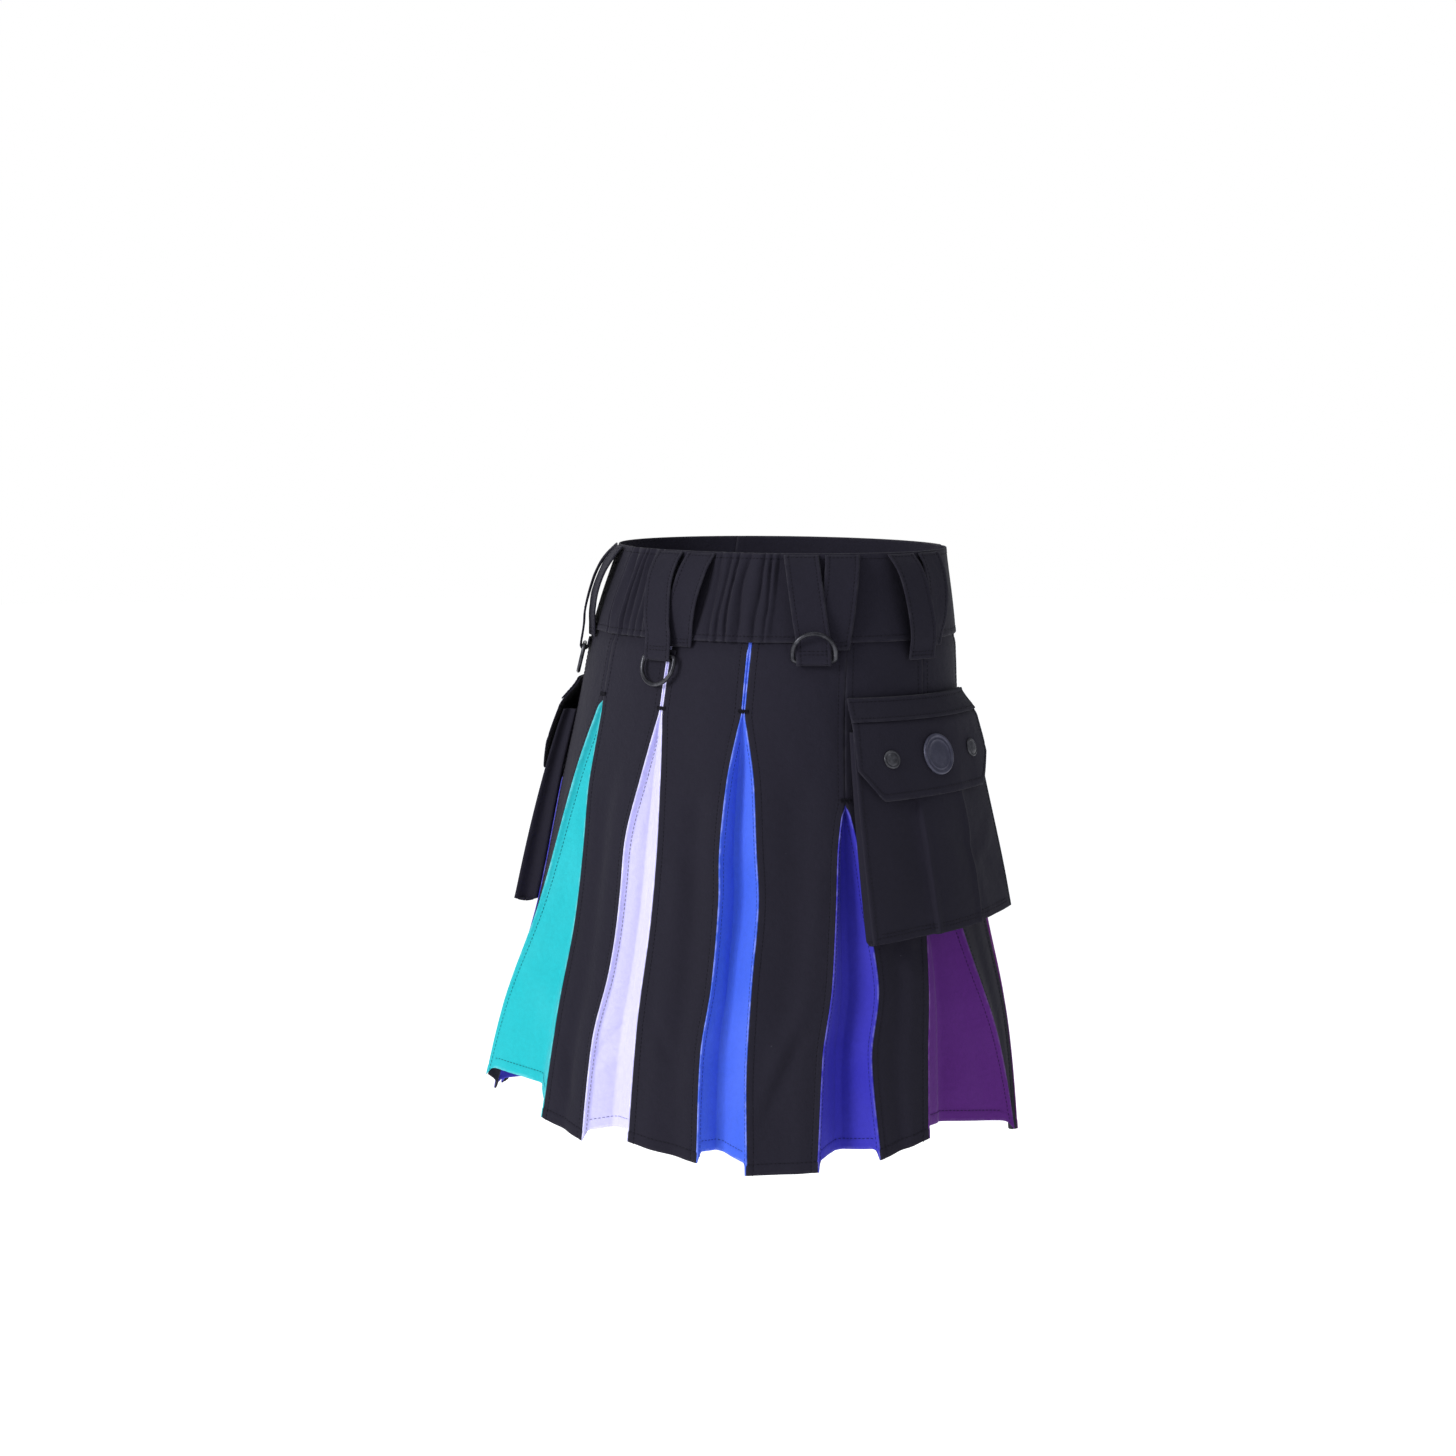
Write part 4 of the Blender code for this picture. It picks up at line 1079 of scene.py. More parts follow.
def pocket_flat(across, down):
    """How far the stiff front of a pocket stands off the round hip towards its edges."""
    return POCKET_FLATNESS * (2 * across / POCKET_WIDTH_TOP) ** 2 * ease(-0.01, 0.05, down)


def pocket_half_width(down):
    return mix(POCKET_WIDTH_TOP, POCKET_WIDTH_HEM, down / POCKET_HEIGHT) / 2


BAG_FOLD_STRENGTH = 1.5
BAG_FOLDS = [
    Fold(0.30, 0.30, 0.24, 1.0, 9, -1.6),
    Fold(0.62, 0.20, 0.72, 0.98, 8, 1.3),
    Fold(0.12, 0.55, 0.28, 0.90, 8, 1.2),
    Fold(0.55, 0.62, 0.90, 0.82, 9, -1.2),
    Fold(0.72, 0.75, 0.95, 0.60, 7, 1.1),
    Fold(0.02, 0.40, 0.16, 0.62, 6, -1.0),
]


def bag_face(across, down, seed):
    """How far a place on the bag's front is from the plane of its edges."""
    half = pocket_half_width(down)
    away = abs(across)
    loose = ease(FLAP_HEIGHT - 0.004, FLAP_HEIGHT + 0.030, down)
    pleat = BOX_PLEAT_RAISE + MM * (1 - (away / BOX_PLEAT_HALF) ** 2) + 1.8 * MM * loose
    from_edge = (away - BOX_PLEAT_HALF + 1.5 * MM) / (1.6 * MM)
    edge = (0.6 + 0.8 * loose) * MM * exp(-(from_edge**2))
    on_pleat = 1 - ease(BOX_PLEAT_HALF, BOX_PLEAT_HALF + 0.9 * MM, away)
    inside = half - away
    held = ease(0.0, 0.012, inside)
    wide = 2 * half
    share_across, share_down = across / wide + 0.5, down / POCKET_HEIGHT
    creases = BAG_FOLD_STRENGTH * folded(BAG_FOLDS, share_across, share_down, wide, POCKET_HEIGHT)
    slow = 1.0 * MM * unevenness(share_across, share_down, seed, wide, POCKET_HEIGHT)
    return (pleat + edge) * on_pleat + (creases + slow) * held


# A gusset's fold: rows of a distance beyond the bag's edge, in millimetres, and a share of the way
# from its back to its front
GUSSET = [
    (0.0, 0.0), (0.6, 0.10), (-0.9, 0.22), (-2.4, 0.36),
    (-3.0, 0.5), (-2.4, 0.64), (-0.9, 0.78), (0.2, 0.90),
]


def bag_stops(half):
    """Places across the front of a bag, close together at its edges and its box pleat."""
    edges = [half - stop for stop in (0.0, 0.0012, 0.003, 0.0048, 0.0062, 0.008)]
    beside = [mix(edges[-1], BOX_PLEAT_HALF + 1.4 * MM, n / 6) for n in range(1, 7)]
    pleat = [BOX_PLEAT_HALF + away * MM for away in (0.6, 0.0, -0.8, -2.2)]
    inside = [mix(pleat[-1], 0, n / 8) for n in range(1, 9)]
    stops = edges + beside + pleat + inside
    return [-stop for stop in stops] + stops[-2::-1]


def bag_ring(side, down, closing, seed):
    """One level of a bag, from the middle of its back round by its front: closing 1 shuts it."""
    half, depth = pocket_half_width(down), pocket_depth(down)
    gusset = [(half + beyond * MM, share, 0.0) for beyond, share in GUSSET]
    ring = [(0.0, 0.0, 0.0), (-half / 2, 0.0, 0.0)]
    ring += [(-across, share, rise) for across, share, rise in gusset]
    ring += [(stop, 1.0, bag_face(stop, down, seed)) for stop in bag_stops(half)]
    ring += gusset[::-1]
    ring += [(half / 2, 0.0, 0.0), (0.0, 0.0, 0.0)]
    places = []
    for across, share, rise in ring:
        held = mix(share, 0.5, closing)
        thick = depth + pocket_flat(across, down)
        places.append(pocket_point(side, across, down, held * thick + rise * share * (1 - closing)))
    return places


def add_pocket_bag(side, name):
    """The bag of a pocket, open at the top, with two folded gussets and a box pleat in front."""
    seed = 71.0 if side > 0 else 83.0
    downs = [POCKET_MOUTH + stop for stop in (0.0, 0.0012, 0.003, 0.005, 0.0065, 0.009)]
    downs += [mix(POCKET_MOUTH + 0.009, POCKET_HEIGHT - 0.010, n / 46) for n in range(1, 47)]
    downs += [POCKET_HEIGHT - stop for stop in (0.0082, 0.0066, 0.005, 0.003, 0.0012, 0.0)]
    rows = [bag_ring(side, down, 0.0, seed) for down in downs]
    for closing, further in ((0.25, 0.7), (0.55, 1.0), (0.8, 1.2), (0.94, 1.3)):
        rows.append(bag_ring(side, POCKET_HEIGHT + further * MM, closing, seed))
    cloth = Cloth(rows, side < 0)
    sew(f"pocket_bag_{name}", cloth, POCKET_WALL - 0.2 * MM, "cloth_black", f"pocket_bag_{name}")
    front = bag_part(side, downs, seed)
    seams = front.sides(BAG_EDGE_SEAM)
    for away, short in zip(BAG_HEM_SEAMS, (0.04, 0.06)):
        seams.append(front.line_across(away, start=short, end=1 - short))
    stitch(f"pocket_bag_{name}_stitches", seams, "thread_black")


def bag_part(side, downs, seed):
    """The front of a bag alone, for its seams."""
    rows = []
    for down in downs:
        half, depth = pocket_half_width(down), pocket_depth(down)
        row = []
        for n in range(49):
            across = mix(-half, half, n / 48)
            rise = bag_face(across, down, seed)
            row.append(pocket_point(side, across, down, depth + pocket_flat(across, down) + rise))
        rows.append(row)
    return Cloth(rows, side < 0)


def flap_out(across, down):
    """How far the flap's inner face stands from the pocket's back."""
    clear = FLAP_CLEAR + BOX_PLEAT_RAISE + MM
    over_bag = pocket_depth(max(down, POCKET_MOUTH)) + clear
    kick = FLAP_KICK * (across / FLAP_WIDTH * 2) ** 2 * ease(0.02, FLAP_HEIGHT, down)
    kick += pocket_flat(across, down)
    return mix(0.8 * MM, over_bag, ease(-0.002, 0.026, down)) + kick


FLAP_FOLDS = [
    Fold(0.14, 0.45, 0.20, 0.95, 8, 0.9),
    Fold(0.82, 0.40, 0.74, 0.90, 9, -0.9),
    Fold(0.40, 0.92, 0.62, 0.88, 6, 0.8),
    Fold(0.05, 0.30, 0.30, 0.36, 6, -0.7),
]


def flap_place(side, across, down, seed):
    """A place on the flap's outer face, with its slight waves."""
    share_across, share_down = across / FLAP_WIDTH + 0.5, down / FLAP_HEIGHT
    below_band = ease(POCKET_BAND_HEIGHT, POCKET_BAND_HEIGHT + 0.012, down)
    near_snap = min(abs(across), abs(abs(across) - SNAP_SPREAD))
    held = 1 - 0.85 * exp(-(((down - SNAP_DROP) / 0.014) ** 2)) * exp(-((near_snap / 0.014) ** 2))
    waves = folded(FLAP_FOLDS, share_across, share_down, FLAP_WIDTH, FLAP_HEIGHT)
    waves += 0.6 * MM * unevenness(share_across, share_down, seed, FLAP_WIDTH, FLAP_HEIGHT)
    out = flap_out(across, down) + FLAP_WALL + waves * below_band * held
    return pocket_point(side, across, down, out)


def flap_face(side, across, down):
    """A place on the flap's outer face, without its waves."""
    return pocket_point(side, across, down, flap_out(across, down) + FLAP_WALL)


POCKET_BAND_DOWNS = [
    0.0, 0.001, 0.0022, 0.0034, 0.005, 0.0075, 0.010, 0.0128, 0.0142, 0.0154, 0.0168, 0.018,
]


def pocket_band_place(side, stop, down, seed):
    """A place on the outer face of the band over a flap's top."""
    across = mix(-FLAP_WIDTH / 2, FLAP_WIDTH / 2, stop)
    wave = 0.25 * MM * noise.noise(Vector((stop * 7, down / 0.02, seed)))
    out = flap_out(across, down) + 2 * FLAP_WALL + BAND_CLEAR + wave
    return pocket_point(side, across, down, out)


def add_flap(side, name):
    """The flap over the mouth of a pocket, its lower corners clipped, and the band over its top."""
    seed = 91.0 if side > 0 else 97.0
    half = FLAP_WIDTH / 2
    stops = fine_stops(FLAP_WIDTH, 2.4 * MM)
    shares = fine_stops(FLAP_HEIGHT, 2.2 * MM)
    rows = []
    for share in shares:
        row = []
        for stop in stops:
            across = mix(-half, half, stop)
            clip = max(0.0, (abs(across) - half + FLAP_CLIP) / FLAP_CLIP)
            down = share * (FLAP_HEIGHT - FLAP_CLIP_HEIGHT * clip)
            row.append(flap_place(side, across, down, seed))
        rows.append(row)
    cloth = Cloth(rows, side < 0)
    cloth.press(("left", "right", "hem"), EDGE_SEAM, 0.35 * MM, 0.25 * MM, seed=seed)
    sew(f"pocket_flap_{name}", cloth, FLAP_WALL - 0.2 * MM, "cloth_black", f"pocket_flap_{name}")
    seams = cloth.sides(EDGE_SEAM, 0.2, 0.94)
    seams.append(cloth.line_across(EDGE_SEAM, start=0.05, end=0.95))
    rows = [
        [pocket_band_place(side, stop, down, seed + 3) for stop in stops]
        for down in POCKET_BAND_DOWNS
    ]
    band = Cloth(rows, side < 0)
    all_edges = ("left", "right", "top", "hem")
    band.press(all_edges, POCKET_BAND_SEAM, 0.2 * MM, 0.15 * MM, seed=seed + 2)
    sew(f"pocket_band_{name}", band, FLAP_WALL - 0.2 * MM, "cloth_black", f"pocket_band_{name}")
    seams += [band.line_across(POCKET_BAND_SEAM, top) for top in (False, True)]
    seams += band.sides(POCKET_BAND_SEAM, 0.2, 0.8)
    stitch(f"pocket_flap_{name}_stitches", seams, "thread_black")


# Turned profiles: pairs of a radius and a height above the cloth, in millimetres
SNAP_PROFILE = [
    (7.8, 0.0), (7.8, 0.5), (7.55, 1.0), (7.0, 1.35), (6.6, 1.45), (6.2, 1.35), (5.9, 1.1),
    (5.6, 1.1), (5.2, 1.5), (4.3, 2.05), (3.0, 2.4), (1.6, 2.55), (0.9, 2.5), (0.5, 2.35),
    (0.0, 2.3),
]
BADGE_PROFILE = [
    (17.5, 0.0), (17.5, 0.9), (17.2, 1.5), (16.6, 1.9), (15.9, 2.05), (15.2, 1.9), (14.7, 1.5),
    (14.3, 1.25), (13.4, 1.2), (12.9, 1.5), (12.4, 1.7), (11.9, 1.5), (11.4, 1.2), (9.0, 1.25),
    (6.0, 1.4), (3.0, 1.5), (0.0, 1.55),
]
TURNS = 64


def turned_cap(name, place, normal, profile, finish, node):
    """A round metal cap that lies on the cloth, turned from its profile."""
    spin = normal.to_track_quat("Z", "Y").to_matrix()
    corners, faces = [], []
    for radius, height in profile[:-1]:
        for n in range(TURNS):
            turned = 2 * pi * n / TURNS
            spot = Vector((radius * MM * cos(turned), radius * MM * sin(turned), height * MM))
            corners.append(tuple(place + spin @ spot))
    corners.append(tuple(place + normal * profile[-1][1] * MM))
    for ring in range(len(profile) - 2):
        faces += between_rings(ring * TURNS, (ring + 1) * TURNS, TURNS)
    last = (len(profile) - 2) * TURNS
    tip = len(corners) - 1
    faces += [(last + n, last + (n + 1) % TURNS, tip) for n in range(TURNS)]
    faces.append(tuple(reversed(range(TURNS))))
    mesh = smooth_mesh(name, corners, faces)
    mesh.set_sharp_from_angle(angle=radians(50))
    made = new_piece(name, mesh, finish)
    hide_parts(node)


def add_flap_caps(side, name):
    """A plain round badge in the middle of a flap and a snap on each side of it."""
    rows = [
        ("badge", 0.0, BADGE_PROFILE, "badge_metal"),
        ("snap_rear", -SNAP_SPREAD, SNAP_PROFILE, "snap_metal"),
        ("snap_front", SNAP_SPREAD, SNAP_PROFILE, "snap_metal"),
    ]
    drop = SNAP_DROP
    for what, across, profile, finish in rows:
        step = profile[0][0] * MM * 0.8
        level = flap_face(side, across + step, drop) - flap_face(side, across - step, drop)
        down = flap_face(side, across, drop + step) - flap_face(side, across, drop - step)
        normal = (down.cross(level) * side).normalized()
        place = flap_face(side, across, drop) + normal * SEAM_GAP
        node = f"{what}_{name}"
        turned_cap(f"{node}_cap", place, normal, profile, finish, node)


def add_front_snaps():
    """Two snaps that close the over apron's end of the waistband."""
    for n, drop in enumerate(FRONT_SNAP_DROPS, start=1):
        place = on_body(FRONT_SNAP_ANGLE, drop, FRONT_SNAP_OUT)
        _, normal = stance(FRONT_SNAP_ANGLE, drop)
        node = f"snap_front_{n}"
        turned_cap(f"{node}_cap", place, normal, SNAP_PROFILE, "snap_metal", node)


class Pad:
    """Places nodes in a tree, each with its inputs given as values or as other nodes' outputs."""

    def __init__(self, tree):
        self.tree = tree

    def feed(self, socket, value):
        """Gives a socket a value, or links another node's output to it."""
        if isinstance(value, bpy.types.NodeSocket):
            self.tree.links.new(value, socket)
        else:
            socket.default_value = value

    def node(self, kind, inputs=None, **traits):
        made = self.tree.nodes.new(kind)
        for name, value in traits.items():
            setattr(made, name, value)
        for key, value in (inputs or {}).items():
            self.feed(made.inputs[key], value)
        return made

    def math(self, operation, *values, clamp=False):
        inputs = dict(enumerate(values))
        made = self.node("ShaderNodeMath", inputs, operation=operation, use_clamp=clamp)
        return made.outputs[0]

    def scale(self, vector, share):
        inputs = {0: vector, "Scale": share}
        return self.node("ShaderNodeVectorMath", inputs, operation="SCALE").outputs[0]

    def bump(self, strength, distance, height, under=None):
        """A normal for a height, laid over the normal under it."""
        inputs = {"Strength": strength, "Distance": distance, "Height": height}
        if under is not None:
            inputs["Normal"] = under
        return self.node("ShaderNodeBump", inputs).outputs[0]

    def noise(self, place, scale, detail=2.0, rough=0.5):
        inputs = {"Vector": place, "Scale": scale, "Detail": detail, "Roughness": rough}
        return self.node("ShaderNodeTexNoise", inputs).outputs["Fac"]

    def span(self, value, low, high, to_low=0.0, to_high=1.0):
        names = ("Value", "From Min", "From Max", "To Min", "To Max")
        inputs = dict(zip(names, (value, low, high, to_low, to_high)))
        made = self.node("ShaderNodeMapRange", inputs, interpolation_type="SMOOTHSTEP")
        return made.outputs["Result"]

    def blend(self, share, first, second):
        inputs = {0: share, 6: first, 7: second}
        return self.node("ShaderNodeMix", inputs, data_type="RGBA").outputs[2]


def new_group(name, inputs, outputs):
    """An empty shader group with named inputs and outputs, and a pad to build it on."""
    tree = bpy.data.node_groups.new(name, "ShaderNodeTree")
    for title, kind, value in inputs:
        socket = tree.interface.new_socket(name=title, in_out="INPUT", socket_type=kind)
        if value is not None:
            socket.default_value = value
    for title, kind in outputs:
        tree.interface.new_socket(name=title, in_out="OUTPUT", socket_type=kind)
    pad = Pad(tree)
    entry = pad.node("NodeGroupInput")
    leave = pad.node("NodeGroupOutput")
    return tree, pad, entry.outputs, leave.inputs


def group_called(name):
    return bpy.data.node_groups.get(name) or GROUPS[name]()


def twill_group():
    """Twill: slanting wales of yarn over metres of cloth, with slubs in the yarn."""
    tree, pad, given, result = new_group(
        "twill_weave",
        [("Cloth", "NodeSocketVector", None), ("Wale", "NodeSocketFloat", 0.001)],
        [("Height", "NodeSocketFloat"), ("Shade", "NodeSocketFloat")],
    )
    count = pad.math("DIVIDE", 1.0, given["Wale"])
    threads = pad.scale(given["Cloth"], count)
    split = pad.node("ShaderNodeSeparateXYZ", {0: threads}).outputs
    slub = pad.noise(threads, 0.16, 3.0, 0.6)
    slant = pad.math("ADD", split["X"], split["Y"])
    slant = pad.math("ADD", slant, pad.math("MULTIPLY", slub, 0.7))
    wale = pad.math("SINE", pad.math("MULTIPLY", slant, 2 * pi))
    crosswise = pad.math("SUBTRACT", split["Y"], split["X"])
    cross = pad.math("SINE", pad.math("MULTIPLY", crosswise, 2 * pi))
    height = pad.math("MULTIPLY_ADD", wale, 0.36, 0.5)
    height = pad.math("ADD", height, pad.math("MULTIPLY", cross, 0.14))
    height = pad.math("ADD", height, pad.math("MULTIPLY", pad.math("SUBTRACT", slub, 0.5), 0.7))
    tree.links.new(height, result["Height"])
    tree.links.new(pad.span(height, 0.0, 1.0, 0.84, 1.12), result["Shade"])
    return tree


def crumple_group():
    """Fine creases that stay in worn cotton: long shallow ones and small sharp ones."""
    tree, pad, given, result = new_group(
        "worn_crumple",
        [("Place", "NodeSocketVector", None), ("Size", "NodeSocketFloat", 0.02)],
        [("Height", "NodeSocketFloat")],
    )
    count = pad.math("DIVIDE", 1.0, given["Size"])
    spread = pad.scale(given["Place"], count)
    broad = pad.noise(spread, 0.8, 2.0, 0.5)
    sharp = pad.noise(spread, 1.9, 3.0, 0.55)
    ridge = pad.math("ABSOLUTE", pad.math("SUBTRACT", sharp, 0.5))
    ridge = pad.math("SUBTRACT", 1.0, pad.math("MULTIPLY", ridge, 5.0, clamp=True))
    height = pad.math("ADD", broad, pad.math("MULTIPLY", ridge, 0.18))
    tree.links.new(height, result["Height"])
    return tree


def wear_group():
    """Where cloth or metal is worn: edges rub pale, broad patches fade, and lint clings."""
    tree, pad, given, result = new_group(
        "rubbed_and_faded",
        [
            ("Place", "NodeSocketVector", None),
            ("Edge", "NodeSocketFloat", 1.0),
            ("Reach", "NodeSocketFloat", 0.0022),
        ],
        [("Rubbed", "NodeSocketFloat"), ("Faded", "NodeSocketFloat"), ("Lint", "NodeSocketFloat")],
    )
    near = pad.math("SUBTRACT", 1.0, pad.math("DIVIDE", given["Edge"], given["Reach"], clamp=True))
    patchy = pad.span(pad.noise(given["Place"], 95.0, 4.0, 0.65), 0.38, 0.68)
    rubbed = pad.math("MULTIPLY", near, patchy)
    tree.links.new(rubbed, result["Rubbed"])
    faded = pad.span(pad.noise(given["Place"], 9.0, 3.0, 0.55), 0.30, 0.72)
    tree.links.new(faded, result["Faded"])
    cells = pad.node("ShaderNodeTexVoronoi", {"Vector": given["Place"], "Scale": 62.0})
    speck = pad.span(cells.outputs["Distance"], 0.02, 0.05, 1.0, 0.0)
    sparse = pad.span(pad.noise(given["Place"], 40.0, 1.0), 0.60, 0.66)
    tree.links.new(pad.math("MULTIPLY", speck, sparse), result["Lint"])
    return tree


GROUPS = {
    "twill_weave": twill_group,
    "worn_crumple": crumple_group,
    "rubbed_and_faded": wear_group,
}


def use_group(pad, name, inputs):
    return pad.node("ShaderNodeGroup", inputs, node_tree=group_called(name)).outputs


LINT_COLOUR = (0.16, 0.16, 0.18, 1)
FINISH_PREFIX = "worn_"


def new_finish(name):
    """A material with its shader, ready to be built on."""
    made = bpy.data.materials.new(FINISH_PREFIX + name)
    made.use_nodes = True
    tree = made.node_tree
    tree.nodes.clear()
    pad = Pad(tree)
    shader = pad.node("ShaderNodeBsdfPrincipled")
    leave = pad.node("ShaderNodeOutputMaterial")
    tree.links.new(shader.outputs[0], leave.inputs["Surface"])
    return made, pad, shader


def cloth_finish(name, colour, wale=0.00095, fading=0.25, sheen=0.12, weave=0.35, crumple=0.6):
    """Woven cotton in one colour, a little rubbed at its edges."""
    made, pad, shader = new_finish(name)
    laid = pad.node("ShaderNodeUVMap", uv_map="cloth").outputs[0]
    place = pad.node("ShaderNodeTexCoord").outputs["Object"]
    edge = pad.node("ShaderNodeAttribute", attribute_name="edge_distance").outputs["Fac"]
    twill = use_group(pad, "twill_weave", {"Cloth": laid, "Wale": wale})
    worn = use_group(pad, "rubbed_and_faded", {"Place": place, "Edge": edge})
    bright = max(colour)
    pale = tuple(mix(c, bright, 0.12) * 1.3 + 0.001 for c in colour)
    rubbed = tuple(mix(c, bright, 0.30) * 1.5 + 0.010 for c in colour)
    tone = pad.blend(pad.math("MULTIPLY", worn["Faded"], fading), (*colour, 1), (*pale, 1))
    tone = pad.blend(pad.math("MULTIPLY", worn["Rubbed"], 0.5), tone, (*rubbed, 1))
    shaded = pad.scale(tone, twill["Shade"])
    tone = pad.blend(pad.math("MULTIPLY", worn["Lint"], 0.22), shaded, LINT_COLOUR)
    pad.tree.links.new(tone, shader.inputs["Base Color"])
    rough = pad.math("MULTIPLY_ADD", worn["Faded"], 0.06, 0.86)
    pad.tree.links.new(rough, shader.inputs["Roughness"])
    shader.inputs["Specular IOR Level"].default_value = 0.22
    shader.inputs["Sheen Weight"].default_value = sheen
    shader.inputs["Sheen Roughness"].default_value = 0.45
    creases = use_group(pad, "worn_crumple", {"Place": place, "Size": 0.022})
    folds = pad.bump(crumple, 1.1 * MM, creases["Height"])
    yarn = pad.bump(weave, 0.12 * MM, twill["Height"], folds)
    pad.tree.links.new(yarn, shader.inputs["Normal"])
    return made


def thread_finish(name, colour):
    """Sewing thread: twisted, a little glossier than the cloth."""
    made, pad, shader = new_finish(name)
    place = pad.node("ShaderNodeTexCoord").outputs["Object"]
    twist = pad.noise(place, 2600.0, 1.0)
    tone = pad.blend(twist, (*[c * 0.7 for c in colour], 1), (*[c * 1.3 for c in colour], 1))
    pad.tree.links.new(tone, shader.inputs["Base Color"])
    shader.inputs["Roughness"].default_value = 0.65
    shader.inputs["Specular IOR Level"].default_value = 0.15
    pad.tree.links.new(pad.bump(0.4, 0.1 * MM, twist), shader.inputs["Normal"])
    return made


def metal_finish(name, colour, bare, metallic, rough, scuffs):
    """Painted or plated metal, with fine scuffs where the plating is rubbed."""
    made, pad, shader = new_finish(name)
    place = pad.node("ShaderNodeTexCoord").outputs["Object"]
    worn = use_group(pad, "rubbed_and_faded", {"Place": place, "Edge": 0.0006, "Reach": 0.002})
    fine = pad.noise(place, 900.0, 3.0, 0.6)
    tone = pad.blend(pad.math("MULTIPLY", worn["Rubbed"], scuffs), (*colour, 1), (*bare, 1))
    pad.tree.links.new(tone, shader.inputs["Base Color"])
    uneven = pad.span(fine, 0.3, 0.7, rough - 0.07, rough + 0.10)
    pad.tree.links.new(uneven, shader.inputs["Roughness"])
    shader.inputs["Metallic"].default_value = metallic
    pad.tree.links.new(pad.bump(0.12, 0.2 * MM, fine), shader.inputs["Normal"])
    return made


def colour_of(name):
    return tuple(getattr(bpy.context.scene.kilt_colours, name))


def darker(colour, share):
    return tuple(c * share for c in colour)


# Each metal: its colour, its bare colour, how metallic and how rough it is, and its scuffs
METALS = {
    "ring_metal": ((0.022, 0.022, 0.028), (0.16, 0.16, 0.18), 0.75, 0.34, 0.5),
    "snap_metal": ((0.035, 0.035, 0.042), (0.20, 0.20, 0.22), 0.80, 0.38, 0.5),
    "badge_metal": ((0.040, 0.040, 0.068), (0.14, 0.14, 0.19), 0.45, 0.42, 0.4),
}


def build_finish(name):
    """Builds one of the kilt's finishes from the chosen colours."""
    kind, _, which = name.partition("_")
    if kind == "cloth":
        colour = colour_of(which)
        if which == "black":
            return cloth_finish(name, colour, fading=0.45, sheen=0.03, crumple=0.9)
        return cloth_finish(
            name, colour, wale=0.0007, fading=0.22, sheen=0.05, weave=0.25, crumple=0.9
        )
    if kind == "thread":
        return thread_finish(name, darker(colour_of(which), 0.5 if which == "black" else 0.30))
    if name in METALS:
        return metal_finish(name, *METALS[name])
    if name == "studio_floor":
        made, pad, shader = new_finish(name)
        shader.inputs["Base Color"].default_value = (0.80, 0.80, 0.80, 1)
        shader.inputs["Roughness"].default_value = 0.9
        shader.inputs["Emission Color"].default_value = (1, 1, 1, 1)
        shader.inputs["Emission Strength"].default_value = 0.78
        return made
    raise ValueError(f"no finish is called {name}")


def finish_called(name):
    return bpy.data.materials.get(FINISH_PREFIX + name) or build_finish(name)


CAMERA_AZIMUTH, CAMERA_PITCH = 218.5, 6.3
CAMERA_DISTANCE, CAMERA_HEIGHT = 3.0, 0.17
FOCAL_PIXELS, FRAME_PIXELS, PIXELS_ASIDE = 3432.0, 1456.0, 53.0


def add_camera():
    """The camera: level behind the wearer's right, looking a little down."""
    around, pitch = radians(CAMERA_AZIMUTH), radians(CAMERA_PITCH)
    back = Vector((sin(around), -cos(around), 0))
    right = Vector((cos(around), sin(around), 0))
    data = bpy.data.cameras.new("camera")
    data.sensor_width = 36.0
    data.lens = data.sensor_width * FOCAL_PIXELS / FRAME_PIXELS
    made = bpy.data.objects.new("camera", data)
    bpy.context.scene.collection.objects.link(made)
    ahead = -back * cos(pitch) + Vector((0, 0, -sin(pitch)))
    place = back * CAMERA_DISTANCE - right * (PIXELS_ASIDE / FOCAL_PIXELS * CAMERA_DISTANCE)
    turn = Matrix((right, (-ahead).cross(right), -ahead)).transposed().to_4x4()
    turn.translation = place + Vector((0, 0, CAMERA_HEIGHT))
    made.matrix_world = turn
    bpy.context.scene.camera = made
    return back, right


# Each soft light, metres from the waist as the camera sees it, with its size and its power
Lamp = namedtuple("Lamp", "name nearer right up size power")
LAMPS = [
    Lamp("key_light", 1.7, -2.4, 1.0, 1.1, 74),
    Lamp("fill_light", 2.4, 2.0, 0.6, 2.2, 7),
    Lamp("far_light", -2.6, -0.6, 1.4, 2.4, 22),
    Lamp("top_light", 0.3, 0.0, 2.4, 2.2, 16),
]
LIT_PLACE = Vector((0, 0.03, -0.28))


def add_softbox(lamp, place, strength):
    """A square soft light that points at the middle of the kilt."""
    data = bpy.data.lights.new(lamp.name, "AREA")
    data.size = lamp.size
    data.energy = lamp.power * strength
    made = bpy.data.objects.new(lamp.name, data)
    made.location = place
    made.rotation_mode = "QUATERNION"
    made.rotation_quaternion = (LIT_PLACE - place).to_track_quat("-Z", "Y")
    bpy.context.scene.collection.objects.link(made)


FLOOR_DROP, FLOOR_RADIUS = 1.06, 14.0
ROOM_LIGHT, ROOM_COLOUR = 0.36, (0.90, 0.93, 1.0, 1)


